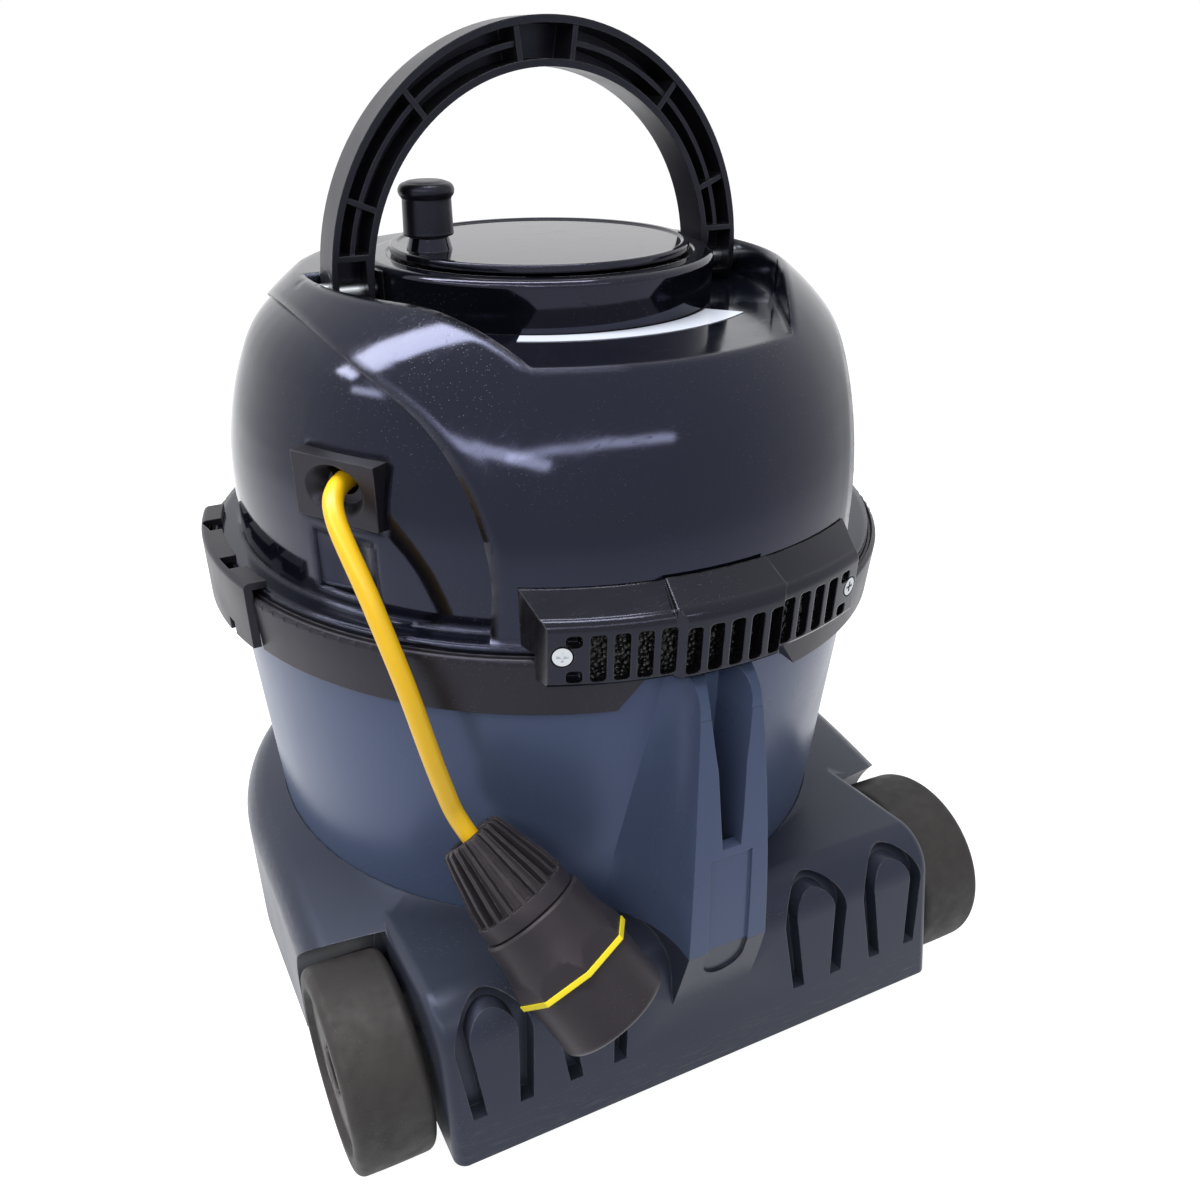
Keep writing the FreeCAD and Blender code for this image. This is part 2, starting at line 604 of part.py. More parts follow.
def rim_band():
    """Bumper band that caps the drum's rim, with the clips' seats at both sides."""
    low = drum_r(BAND_Z) + GAP
    high = drum_r(DRUM_TOP_Z) + GAP
    inner = drum_r(BAND_SEAT_Z - 4) - DRUM_WALL - GAP
    lip = BAND_LIP_R
    body = lathe((low, BAND_Z), (BAND_R, BAND_Z), (BAND_EDGE_R, BAND_TOP_Z - 3),
                 ((BAND_EDGE_R - 0.6, BAND_TOP_Z - 0.9), (BAND_EDGE_R - 2, BAND_TOP_Z)),
                 (BAND_EDGE_R - 2.6, BAND_TOP_Z - 1.6), (FLANGE_R + 1.0, BAND_TOP_Z - 1.6),
                 (FLANGE_R + 0.4, BAND_TOP_Z), (lip, BAND_TOP_Z), (lip, BAND_SEAT_Z),
                 (lip - 3, BAND_SEAT_Z), (lip - 3, BAND_SEAT_Z - 4), (inner, BAND_SEAT_Z - 4),
                 (inner, DRUM_TOP_Z + GAP), (high, DRUM_TOP_Z + GAP))
    y = REAR_Y
    cut = outline(lambda a, b: Vector(a, y, b), (-CUT_HALF, BAND_Z - 1), (CUT_HALF, BAND_Z - 1),
                  (CUT_TOP_HALF, CUT_Z), (-CUT_TOP_HALF, CUT_Z))
    cuts = [cut.extrude(Vector(0, -80, 0)).cut(disc(inner + 1, 0, 400))]
    lugs = []
    for side in (-1, 1):
        seat = block(140, 200, -CLIP_HALF_Y - 0.5, CLIP_HALF_Y + 0.5, BAND_Z - 1, BAND_TOP_Z - 5)
        seat = seat.cut(disc(CLIP_WEB_R, 0, 400))
        rim = block(140, 200, -CLIP_HALF_Y - 0.5, CLIP_HALF_Y + 0.5, BAND_TOP_Z - 6,
                    BAND_TOP_Z + 1).cut(disc(CLIP_R - CLIP_WALL - GAP, 0, 400))
        low, high = CLIP_LUG_Y
        nose = rod_y(CLIP_KNUCKLE_R, low, high, CLIP_PIN_X, CLIP_PIN_Z)
        stem = block(160, CLIP_PIN_X, low, high, CLIP_PIN_Z - CLIP_KNUCKLE_R,
                     CLIP_PIN_Z + CLIP_KNUCKLE_R)
        lug = nose.fuse(stem).cut(disc(CLIP_WEB_R - 1, 0, 400))
        pair = [lug, moved(lug, y=-low - high)]
        for piece in [seat, rim]:
            cuts.append(piece if side > 0 else mirrored(piece))
        lugs += [piece if side > 0 else mirrored(piece) for piece in pair]
    body = joined([body.cut(cuts)] + lugs)
    holes = [rod_y(CLIP_PIN_R, -60, 60, side * CLIP_PIN_X, CLIP_PIN_Z) for side in (-1, 1)]
    return body.cut(holes)


def clip():
    """Over-centre clip on the +X side: curved plate, hook, hinge knuckles and finger window."""
    r = CLIP_R
    plate = ring(r, r - CLIP_WALL, CLIP_FOOT_Z, CLIP_TOP_Z)
    hook = ring(r, FLANGE_R - 2.5, CLIP_HOOK_Z, CLIP_TOP_Z)
    window = block(100, 200, -CLIP_HALF_Y, CLIP_HALF_Y, CLIP_FOOT_Z, CLIP_TOP_Z)
    body = joined([plate, hook]).common(window)
    edges = [e for e in body.Edges if abs(e.BoundBox.ZMin - CLIP_TOP_Z) < 0.01
             and abs(math.hypot(*e.valueAt(e.FirstParameter)[:2]) - r) < 0.01]
    body = body.makeFillet(CLIP_ROUND, edges)
    low, high = CLIP_LUG_Y
    knuckles = []
    notches = []
    for side in (-1, 1):
        middle = side * (low + high) / 2
        reach = (high - low) / 2 + GAP
        for y in (middle - reach - CLIP_EYE_W, middle + reach):
            eye = rod_y(CLIP_KNUCKLE_R, y, y + CLIP_EYE_W, CLIP_PIN_X, CLIP_PIN_Z)
            arm = block(CLIP_PIN_X, r - 1, y, y + CLIP_EYE_W, CLIP_PIN_Z - 1.5, CLIP_PIN_Z + 2.2)
            knuckles.append(joined([eye, arm]).common(disc(r - 1, 0, 400)))
        notches.append(block(150, r + 5, middle - reach, middle + reach, CLIP_FOOT_Z - 5,
                             CLIP_PIN_Z + CLIP_KNUCKLE_R + 1.5))
    body = joined([body] + knuckles)
    pocket = block(150, 200, 17, 31, CLIP_HOOK_Z - 5, CLIP_TOP_Z + 2)
    pocket = pocket.common(disc(r - CLIP_SKIN, 0, 400))
    cuts = [pocket, moved(pocket, y=-48),
            rod_y(CLIP_PIN_R + FIT, -CLIP_PIN_HALF - FIT, CLIP_PIN_HALF + FIT, CLIP_PIN_X, CLIP_PIN_Z)]
    return body.cut(cuts + notches)


def clip_pin():
    return rod_y(CLIP_PIN_R, -CLIP_PIN_HALF, CLIP_PIN_HALF, CLIP_PIN_X, CLIP_PIN_Z)


def inlet_collar():
    """Hose socket: flange on the drum's pad, bore for the hose cuff, spigot for the bag."""
    pad = -INLET_PAD_Y
    seal = 1.5
    out = -INLET_FACE_Y
    bore = INLET_BORE_R
    y_in = 136.0
    face = outline(lambda r, d: Vector(r, -d, 0), (22, y_in), (28, y_in), (28, pad + seal),
                   (36, pad + seal), (36, pad + seal + 4), ((32.4, pad + seal + 5.4), (31, out - 3)),
                   ((30.4, out - 0.6), (29, out)), (bore, out), (bore, out - 30), (22, out - 30))
    body = moved(face.revolve(Vector(0, 0, 0), Vector(0, 1, 0), 360), z=INLET_Z)
    notches = [block(bore - 1, bore + 2.5, INLET_FACE_Y - 1, INLET_FACE_Y + 9, -3, 3)
               for _ in range(2)]
    notches = [moved(turned(n, 90 + i * 180, Vector(0, 0, 0), Vector(0, 1, 0)), z=INLET_Z)
               for i, n in enumerate(notches)]
    return body.cut(notches)


def inlet_seal():
    tube = rod_y(36, INLET_PAD_Y - 1.5, INLET_PAD_Y, 0, INLET_Z)
    return tube.cut(rod_y(28 + GAP, INLET_PAD_Y - 5, INLET_PAD_Y + 5, 0, INLET_Z))


def bag_collar():
    plate = block(-45, 45, -143.0, -140.5, INLET_Z - 45, INLET_Z + 40)
    plate = plate.makeFillet(8, [e for e in plate.Edges if e.BoundBox.YLength > 2
                                 and e.BoundBox.XLength < 0.1 and e.BoundBox.ZLength < 0.1])
    return plate.cut(rod_y(28 + FIT, -150, -130, 0, INLET_Z))


def dust_bag():
    """Plump paper-fleece bag, swollen over the drum's floor, with its neck on the collar."""
    ball = Part.makeSphere(1.0)
    scale = FreeCAD.Matrix()
    scale.scale(118.0, 116.0, 44.0)
    pillow = moved(ball.transformGeometry(scale), y=-12, z=DECK_Z + 54)
    neck = rod_y(32, -140.2, -115, 0, INLET_Z)
    socket = rod_y(28 + GAP, -145, -135.5, 0, INLET_Z)
    return joined([pillow, neck]).cut(socket)


# ================================================================ head shell
def top_round(centre_r, arc, top, q):
    """Where a rounding of radius q joins a dome's arc and a level top."""
    rise = top - q - SPRING_Z
    run = math.sqrt((arc - q) ** 2 - rise ** 2)
    k = arc / (arc - q)
    start = (centre_r + run * k, SPRING_Z + rise * k)
    middle_angle = (math.degrees(math.atan2(rise, run)) + 90) / 2
    centre = (centre_r + run, top - q)
    return start, on_arc(centre, q, middle_angle), (centre_r + run, top)


def saddle_form(inset=0.0):
    """Outer dome, to the level top."""
    centre = SADDLE_R - SADDLE_ARC
    arc = SADDLE_ARC - inset
    top = TOP_Z - inset
    start, middle, end = top_round(centre, arc, top, TOP_ROUND - inset)
    half_angle = math.degrees(math.asin((start[1] - SPRING_Z) / arc)) / 2
    foot = BAND_TOP_Z - inset * 2
    return lathe((0, foot), (FOOT_R - inset, foot), (SADDLE_R - inset, SPRING_Z),
                 (on_arc((centre, SPRING_Z), arc, half_angle), start), (middle, end), (0, top))


def cheek_form(inset=0.0):
    """Inner dome that shows in the side recesses: a long arc and a tighter one over it."""
    centre = (CHEEK_R - CHEEK_ARC, SPRING_Z)
    a = math.degrees(math.asin((CHEEK_BREAK_Z - SPRING_Z) / CHEEK_ARC))
    upper = on_arc(centre, CHEEK_ARC - CHEEK_TOP_ARC, a)
    arc = CHEEK_ARC - inset
    tight = CHEEK_TOP_ARC - inset
    top = (upper[0], upper[1] + tight)
    foot = BAND_TOP_Z - inset * 2
    return lathe((0, foot), (CHEEK_R - inset, foot), (CHEEK_R - inset, SPRING_Z),
                 (on_arc(centre, arc, a / 2), on_arc(centre, arc, a)),
                 (on_arc(upper, tight, (a + 90) / 2), top), (0, top[1]))


def recess_form(grow=0.0):
    """Side recesses: a three-centred arch pushed through from both sides."""
    half = RECESS_HALF + grow
    crown = RECESS_CROWN + grow
    shoulder = RECESS_SHOULDER + grow
    crown_z = RECESS_APEX_Z - RECESS_CROWN
    y = half - shoulder
    z = crown_z + math.sqrt((crown - shoulder) ** 2 - y ** 2)
    a = math.degrees(math.atan2(z - crown_z, y))
    join = on_arc((0, crown_z), crown, a)
    mid = on_arc((y, z), shoulder, a / 2)
    z0 = BAND_TOP_Z - 10
    face = outline(yz, (-half, z0), (-half, z),
                   ((-mid[0], mid[1]), (-join[0], join[1])), ((0, crown_z + crown), join),
                   (mid, (half, z)), (half, z0))
    body = moved(face.extrude(Vector(FOOT_R, 0, 0)), x=RECESS_IN_X)
    return Part.Compound([body, mirrored(body)])


def ledge_form():
    """Open pocket for the folded handle, with its mouth at the rear, and the cover's seat."""
    pocket = disc(POCKET_R, LEDGE_Z, TOP_Z + 5).common(
        block(-200, 200, POCKET_FRONT_Y, 200, 0, 500))
    wide, edge = MOUTH_WIDE, MOUTH_EDGE
    plan = outline(xy, (-wide[0], wide[1]), (-edge[0], edge[1]), (-edge[0], REAR_Y),
                   (edge[0], REAR_Y), edge, wide)
    mouth = moved(plan.extrude(Vector(0, 0, TOP_Z)), z=LEDGE_Z)
    seat = disc(COVER_R + GAP, LEDGE_Z, TOP_Z + 5)
    return joined([pocket, mouth, seat])


def outlet_frame(x, out, z):
    """Point of the cable outlet: x along its face, out along its axis."""
    a = math.radians(OUTLET_ANGLE)
    return Vector(out * math.sin(a) + x * math.cos(a), out * math.cos(a) - x * math.sin(a),
                  OUTLET_Z + z)


def outlet_block(half_x, half_z, out0, out1):
    corners = [outlet_frame(x, out0, z) for x, z in
               ((-half_x, -half_z), (half_x, -half_z), (half_x, half_z), (-half_x, half_z))]
    face = Part.Face(Part.makePolygon(corners + corners[:1]))
    return face.extrude(outlet_frame(0, out1, 0) - outlet_frame(0, out0, 0))


def deck_points():
    return [polar(148.0, 30 + i * 60, 0) for i in range(6)]


def head_shell():
    outer = joined([saddle_form().cut(recess_form()), cheek_form()])
    outer = outer.fuse(disc(FLANGE_R, BAND_TOP_Z, BAND_TOP_Z + FLANGE_T)).removeSplitter()
    hollow = joined([saddle_form(SHELL).cut(recess_form(SHELL)), cheek_form(SHELL)])
    floor = LEDGE_Z - SHELL
    under = hollow.common(disc(FOOT_R, BAND_TOP_Z - 20, floor))
    front = hollow.common(block(-FOOT_R, FOOT_R, -FOOT_R, POCKET_FRONT_Y - SHELL, floor - 1,
                                TOP_Z)).cut(disc(COVER_R + GAP + SHELL, 0, TOP_Z + 5))
    shell = outer.cut([joined([under, front]), ledge_form()])
    bosses = []
    for p in deck_points():
        boss = disc(6, BAND_TOP_Z + 4 + GAP, BAND_TOP_Z + 30, p.x, p.y)
        bosses.append(boss)
    trim = cheek_form(SHELL / 2)
    shell = joined([shell] + [b.common(trim) for b in bosses])
    cuts = [outlet_block(OUTLET_SIZE[0] / 2 + GAP / 2, OUTLET_SIZE[1] / 2 + GAP / 2,
                         CHEEK_R - 2 * SHELL - 10, OUTLET_FACE_R + 10),
            block(-13.5, 13.5, -108, -88, floor - 8, TOP_Z + 5),
            disc(SPINDLE_R + 1, floor - 5, LEDGE_Z + 5),
            rod_x(PIVOT_R, -116, 116, 0, HANDLE_Z)]
    cuts += [disc(1.5, BAND_TOP_Z - 2, BAND_TOP_Z + 14, p.x, p.y) for p in deck_points()]
    cuts.append(sector(GRILLE_SPAN - 2 * GRILLE_END - 4, (140, 266), (172, 266), (172, 279),
                       (140, 279)))
    panel = outlet_block(16.5, 13.5, CHEEK_R - 2.6, FOOT_R)
    cuts.append(moved(panel, z=-33.0))
    for side in (-1, 1):
        cuts.append(screw_hole(side * GRILLE_SCREW_ANGLE, 1.6, 158, 175))
    return shell.cut(cuts)


def screw_hole(degrees, r, r0, r1):
    start = polar(r0, degrees, GRILLE_SCREW_Z)
    return Part.makeCylinder(r, r1 - r0, start, polar(1, degrees, 0))


# ================================================================ pieces on the head
def motor_deck():
    """Plate under the head that carries the motor and the reel's spindle."""
    plate = disc(CHEEK_R - SHELL - GAP, BAND_TOP_Z, BAND_TOP_Z + 4)
    hub = disc(14, BAND_TOP_Z + 3, BAND_TOP_Z + 34)
    ribs = [block(-1.5, 1.5, 12, 120, BAND_TOP_Z + 3, BAND_TOP_Z + 14) for _ in range(6)]
    ribs = [turned(rib, i * 60) for i, rib in enumerate(ribs)]
    plate = joined([plate, hub] + ribs)
    holes = [disc(1.8, BAND_TOP_Z - 2, BAND_TOP_Z + 8, p.x, p.y) for p in deck_points()]
    holes += [disc(4, BAND_TOP_Z - 2, BAND_TOP_Z + 8, p.x, p.y) for p in screw_points(90, 12)]
    holes.append(disc(SPINDLE_R, BAND_TOP_Z + 10, BAND_TOP_Z + 40))
    holes.append(disc(SHAFT_R + 1, BAND_TOP_Z - 2, BAND_TOP_Z + 8))
    return plate.cut(holes)


def deck_screws():
    parts = []
    for p in deck_points():
        head = disc(3.5, BAND_TOP_Z - 2.5, BAND_TOP_Z, p.x, p.y)
        parts.append(head.fuse(disc(1.5, BAND_TOP_Z - 1, BAND_TOP_Z + 14, p.x, p.y)))
    return Part.Compound(parts)


def head_seal():
    """Rubber ring squeezed between the head's flange and the filter rim."""
    return ring(BAND_LIP_R - GAP, BAND_LIP_R - 5, BAND_SEAT_Z + 4, BAND_TOP_Z)


def motor_can():
    """Drawn steel can with two bearing bridges and the fan chamber at its foot."""
    r = MOTOR_R
    z0 = MOTOR_FOOT_Z
    z1 = BAND_TOP_Z - 3
    body = lathe((22, z0), (r - 4, z0), ((r - 1.2, z0 + 1.2), (r, z0 + 4)), (r, z1), (r + 6, z1),
                 (r + 6, z1 + 3), (r - 2, z1 + 3), (r - 2, z0 + 4), (r - 5, z0 + 2), (22, z0 + 2))
    lower = ring(r - 1, 10, z0 + 18, z0 + 20).cut(
        [disc(7, z0 + 15, z0 + 25, p.x, p.y) for p in screw_points(48, 6)])
    upper = block(-r + 1, r - 1, -9, 9, z1 - 3, z1 - 1).cut(disc(10, z1 - 5, z1 + 5))
    vents = [turned(block(r - 8, r + 8, -4, 4, z0 + 28, z0 + 46), 15 + i * 30) for i in range(12)]
    return joined([body, lower, upper]).cut(vents)


def bearings():
    z0 = MOTOR_FOOT_Z + 17
    z1 = BAND_TOP_Z - 7.5
    return Part.Compound([ring(10, SHAFT_R, z0, z0 + 5), ring(10, SHAFT_R, z1, z1 + 5)])


def stator():
    """Field core touching the can, with two wound poles round the armature."""
    z0 = MOTOR_FOOT_Z + 24
    z1 = BAND_TOP_Z - 14
    core = ring(MOTOR_R - 2, MOTOR_R - 12, z0 + 4, z1 - 4)
    poles = ring(MOTOR_R - 11, 30, z0, z1)
    gap = block(-90, 90, -16, 16, z0 - 1, z1 + 1)
    return joined([core, poles.cut(gap)])


def armature():
    z0 = MOTOR_FOOT_Z + 24
    z1 = BAND_TOP_Z - 14
    core = ring(29, SHAFT_R, z0 + 1, z1 - 1)
    slots = [turned(block(24, 30, -1.5, 1.5, z0, z1), i * 30) for i in range(12)]
    commutator = ring(10, SHAFT_R, z1 - 2, z1 + 5.5)
    return joined([core.cut(slots), commutator])


def brush_holders():
    z1 = BAND_TOP_Z - 14
    holder = block(10.3, 34, -4, 4, z1 + 0.5, z1 + 5.5)
    post = block(28, 34, -4, 4, z1 + 5, BAND_TOP_Z - 6)
    one = joined([holder, post])
    return Part.Compound([one, mirrored(one)])


def motor_shaft():
    return disc(SHAFT_R, MOTOR_FOOT_Z + 3, BAND_TOP_Z - 1)


def fan_wheel():
    """Shrouded impeller with nine curved vanes between two discs."""
    z0 = MOTOR_FOOT_Z + 4
    z1 = MOTOR_FOOT_Z + 15
    r = MOTOR_R - 8
    back = ring(r, SHAFT_R, z1 - 1.5, z1)
    front = ring(r, 20, z0, z0 + 1.5)
    hub = ring(9, SHAFT_R, z0 + 2, z1)
    vane = Part.Face(Part.Wire([
        Part.Arc(Vector(18, 0, z0), Vector(40, 12, z0), Vector(r - 1, 8, z0)).toShape(),
        Part.makeLine(Vector(r - 1, 8, z0), Vector(r - 1, 9.6, z0)),
        Part.Arc(Vector(r - 1, 9.6, z0), Vector(40, 13.6, z0), Vector(18, 1.6, z0)).toShape(),
        Part.makeLine(Vector(18, 1.6, z0), Vector(18, 0, z0))]))
    vane = vane.extrude(Vector(0, 0, z1 - z0))
    spider = disc(19.5, z1 - 1.5, z1).cut(disc(SHAFT_R, z0, z1 + 1))
    return joined([back, front, hub, spider] + [turned(vane, i * 40) for i in range(9)])


def motor_mounts():
    """Rubber rings above and round the motor can."""
    z1 = BAND_TOP_Z - 3
    low = ring(MOTOR_R + 5, MOTOR_R, MOTOR_FOOT_Z + 8, MOTOR_FOOT_Z + 20)
    return Part.Compound([low, ring(MOTOR_R + 6, MOTOR_R, z1 - 4, z1)])


def filter_frame():
    """Conical cage that hangs from the band's seat and keeps the cloth off the motor."""
    z1 = BAND_SEAT_Z + 4
    z0 = MOTOR_FOOT_Z - 10
    rim = ring(BAND_LIP_R - GAP, BAND_LIP_R - 8, BAND_SEAT_Z, z1)
    foot = ring(96, 88, z0, z0 + 3)
    cage = lathe((93, z0), (96, z0), (BAND_LIP_R - 5, z1), (BAND_LIP_R - 8, z1))
    gaps = []
    for i in range(12):
        gap = outline(lambda a, b: Vector(60, a, b), (-17, z0 + 8), (17, z0 + 8), (28, z1 - 8),
                      (-28, z1 - 8)).extrude(Vector(120, 0, 0))
        gaps.append(turned(gap, i * 30))
    return joined([cage.cut(gaps), rim, foot])


def filter_cloth():
    z1 = BAND_SEAT_Z - GAP
    z0 = MOTOR_FOOT_Z - 12
    slope = (BAND_LIP_R - 5 - 96) / (BAND_SEAT_Z + 4 - (MOTOR_FOOT_Z - 10))
    top = 96 + slope * (z1 - MOTOR_FOOT_Z + 10) + 1
    low = 97 + GAP
    return lathe((0, z0), (low + 1, z0), (top + 1.2, z1 - 1), (top, z1 - 1), (low - 1.4, z0 + 1.4),
                 (0, z0 + 1.4))


def reel_cover():
    """Round housing over the reel, with pivot bosses for the handle at both sides."""
    r = COVER_R
    z1 = COVER_Z
    rim = DISC_R + 1.5
    body = lathe((r, LEDGE_Z), (r, z1 - 3), ((r - 0.9, z1 - 0.9), (r - 3, z1)), (rim + 1, z1),
                 (rim, z1 - 1), (rim, DISC_Z - 1.5), (SPINDLE_R + 0.6, DISC_Z - 1.5),
                 (SPINDLE_R + 0.6, DISC_Z - 4.5), (r - SHELL, DISC_Z - 4.5), (r - SHELL, LEDGE_Z))
    half = PIVOT_BOSS_HALF
    corner = math.hypot(half, z1 - 2 - HANDLE_Z)
    reach = math.sqrt(HANDLE_IN_R ** 2 - corner ** 2) - 2 * GAP
    boss = block(r - 6, reach, -half, half, LEDGE_Z, z1 - 2)
    upright = [e for e in boss.Edges if e.BoundBox.ZLength > 5 and e.CenterOfMass.x > r - 5]
    boss = boss.makeFillet(3.0, upright).cut(disc(r - SHELL, 0, z1 + 5))
    body = joined([body, boss, mirrored(boss)])
    return body.cut(rod_x(PIVOT_R, -HANDLE_R, HANDLE_R, 0, HANDLE_Z))


def handle_pins():
    pin = rod_x(PIVOT_R, COVER_R - 4, 116, 0, HANDLE_Z)
    return Part.Compound([pin, mirrored(pin)])


def carry_handle():
    """Hoop of channel section, open to the rear, with a middle rib and cross ribs."""
    t = HANDLE_HALF
    w = HANDLE_WALL
    r = HANDLE_R
    q = HANDLE_IN_R
    back = 2.6

    def hoop(r_out, r_in, y0, y1):
        tube = Part.makeCylinder(r_out, y1 - y0, Vector(0, y0, 0), Vector(0, 1, 0))
        tube = tube.cut(Part.makeCylinder(r_in, y1 - y0, Vector(0, y0, 0), Vector(0, 1, 0)))
        return tube.common(block(-200, 200, -50, 50, 0, 200))

    def leg(x0, x1):
        return rod_x(t, x0, x1, 0, 0)

    solid = joined([hoop(r, q, -t, t), leg(q, r), leg(-r, -q)])
    hollow = hoop(r - w, q + w, -t + back, t + 1)
    stop = block(-200, 200, -50, 50, 0, 16)
    hollow = hollow.cut(stop)
    mid = (r + q) / 2
    rib = hoop(mid + 1.1, mid - 1.1, -t + 1, t - 2.5)
    bare = turned(block(-14.5, 14.5, -50, 50, 0, 200), 0)
    rib = rib.cut(bare)
    cross = []
    for angle in (-68, -40, -8, 8, 40, 68):
        bar = block(-1.2, 1.2, -t + 1, t - 0.8, q + 1, r - 1)
        cross.append(turned(bar, angle, Vector(0, 0, 0), Vector(0, 1, 0)))
    body = joined([solid.cut(hollow), rib] + cross)
    pocket = block(q + w, r - w, -2, t + 1, -5, 13.5)
    body = body.cut([pocket, mirrored(pocket)])
    bore = rod_x(PIVOT_R + FIT, -r - 5, r + 5, 0, 0)
    return moved(body.cut(bore), z=HANDLE_Z)


def crank_disc():
    """Winding disc with a finger rim, a raised boss under the knob and its spindle hub."""
    z0 = DISC_Z
    z1 = DISC_Z + DISC_T
    body = lathe((0, z0), (DISC_R, z0), (DISC_R, z1 - 1), ((DISC_R - 0.3, z1 - 0.3), (DISC_R - 1, z1)),
                 (DISC_R - 3, z1), (DISC_R - 4, z1 - 0.8), (0, z1 - 0.8))
    boss = Part.makeCone(10.5, 9, KNOB_Z - z1 + 0.3, Vector(KNOB_AT, 0, z1 - 0.8))
    hub = disc(SPINDLE_R - 0.4, SPOOL_TOP_Z + 4, z0 + 1)
    return joined([body, boss, hub]).cut(disc(3, z0 + 1, KNOB_Z + 5, KNOB_AT, 0))


def knob_pin():
    foot = disc(3, DISC_Z + 1, KNOB_TOP_Z - 5, KNOB_AT, 0)
    return foot


def crank_knob():
    """Turning knob with a waist, a rolled cap and a hollow underside."""
    r = KNOB_R
    z0 = KNOB_Z
    z1 = KNOB_TOP_Z
    body = lathe((0, z0), (r - 1.6, z0), ((r - 0.8, z0 + 0.4), (r - 0.7, z0 + 1.5)),
                 (r - 1.0, z1 - 7.5), (r - 0.5, z1 - 6.6), ((r + 0.5, z1 - 3.6), (r - 2.2, z1 - 0.9)),
                 ((r - 4.2, z1 - 0.2), (r - 6.5, z1)), (0, z1))
    return moved(body, x=KNOB_AT).cut(disc(3 + FIT, z0 - 1, z1 - 4.7, KNOB_AT, 0))


def cable_spool():
    """Two holed flanges on a hub, closed at the top where the crank's hub drives it."""
    z0 = SPOOL_Z
    z1 = SPOOL_TOP_Z
    hub = ring(30, SPINDLE_R + FIT, z0, z1)
    low = ring(78, SPINDLE_R + FIT, z0, z0 + 2.5)
    high = ring(78, SPINDLE_R + FIT, z1 - 2.5, z1)
    holes = [disc(9, z0 - 5, z1 + 5, p.x, p.y) for p in screw_points(54, 6)]
    neck = ring(11, SPINDLE_R + FIT, z1 - 1, z1 + 2)
    cap = disc(11, z1 + 2, z1 + 4)
    return joined([hub, low.cut(holes), high.cut(holes), neck, cap])


def wound_cable():
    """The cable stored on the spool, as one bundle."""
    return ring(66, 30, SPOOL_Z + 2.5, SPOOL_TOP_Z - 2.5)


def reel_spindle():
    """Fixed steel post on the deck that the spool turns on."""
    return disc(SPINDLE_R, BAND_TOP_Z + 10, SPOOL_TOP_Z + 1.5)


def exhaust_grille():
    """Curved louvre panel: sloping brow, solid end cheeks, raised middle and upright slots."""
    r = GRILLE_R
    w = GRILLE_WALL
    foot = GRILLE_FOOT_Z
    top = GRILLE_TOP_Z
    seat = SADDLE_R + GAP
    seat_foot = FOOT_R + GAP
    flange_z = BAND_TOP_Z + FLANGE_T + 0.1
    brow = GRILLE_BROW_Z
    body = sector(GRILLE_SPAN, (BAND_EDGE_R + 0.4, foot), (r - 1, foot), (r, foot + 1.5),
                  (r, brow), ((r - 1.2, brow + 3), (r - 4, brow + 4.6)), (seat, top),
                  (seat_foot, flange_z), (BAND_EDGE_R + 0.4, flange_z))
    step = sector(STEP_SPAN, (r - w, foot), (STEP_R - 1, foot), (STEP_R, foot + 1.5),
                  (STEP_R, brow + 0.8), ((STEP_R - 1.4, brow + 4.4), (STEP_R - 5, brow + 6.8)),
                  (seat + 1, top + 1), (seat + 1, top - 4), (r - w, brow + 1))
    step = step.cut(end_bevel(STEP_SPAN / 2, STEP_FACE_SPAN / 2, r, STEP_R))
    body = joined([body.cut(end_bevel(GRILLE_SPAN / 2, GRILLE_FACE_SPAN / 2, seat, r)), step])
    inner = GRILLE_SPAN - 2 * GRILLE_END
    hollow = sector(inner, (140, foot - 2), (r - w, foot - 2), (r - w, brow - 0.5),
                    (r - w - 2, brow + 1.6), (140, brow + 28.0))
    cuts = [hollow]
    z0, z1 = SLOT_Z
    for i in range(-(SLOT_COUNT // 2), SLOT_COUNT // 2 + 1):
        cuts.append(turned(slot_cut(z0, z1), i * BAR_PITCH))
    for side in (-1, 1):
        angle = side * (SLOT_COUNT // 2 + 1) * BAR_PITCH
        cuts.append(turned(slot_cut(z0, z0 + SLOT_SHORT), angle))
        cuts.append(turned(slot_cut(z1 - SLOT_SHORT, z1), angle))
        end = side * GRILLE_SCREW_ANGLE
        cuts.append(screw_hole(end, 1.6, 150, 190))
        cuts.append(screw_hole(end, 4.6, r - 2.5, 195))
    return body.cut(cuts)


def end_bevel(foot, face, r0, r1):
    """Space beyond slanting ends: an angle at radius r0, a smaller one at radius r1."""
    beyond = r1 / math.cos(math.radians(foot)) + 5
    slant = (face - foot) / (r1 - r0)
    points = [polar(r0 - 2, foot - slant * 2, 0), polar(r1 + 2, face + slant * 2, 0),
              polar(beyond + 20, face + slant * 2, 0), polar(beyond + 20, foot + 30, 0),
              polar(r0 - 2, foot + 30, 0)]
    wedge = Part.Face(Part.makePolygon(points + points[:1])).extrude(Vector(0, 0, TOP_Z))
    return [wedge, mirrored(wedge)]


def slot_cut(z0, z1):
    """Upright slot with rounded corners, through the front wall at the rear."""
    half = SLOT_W / 2
    q = SLOT_CORNER
    k = q * (1 - math.sqrt(0.5))
    y = GRILLE_R - GRILLE_WALL - 2
    face = outline(lambda a, b: Vector(a, y, b), (-half, z0 + q),
                   ((k - half, z0 + k), (q - half, z0)), (half - q, z0),
                   ((half - k, z0 + k), (half, z0 + q)), (half, z1 - q),
                   ((half - k, z1 - k), (half - q, z1)), (q - half, z1),
                   ((k - half, z1 - k), (-half, z1 - q)))
    return face.extrude(Vector(0, 14, 0))


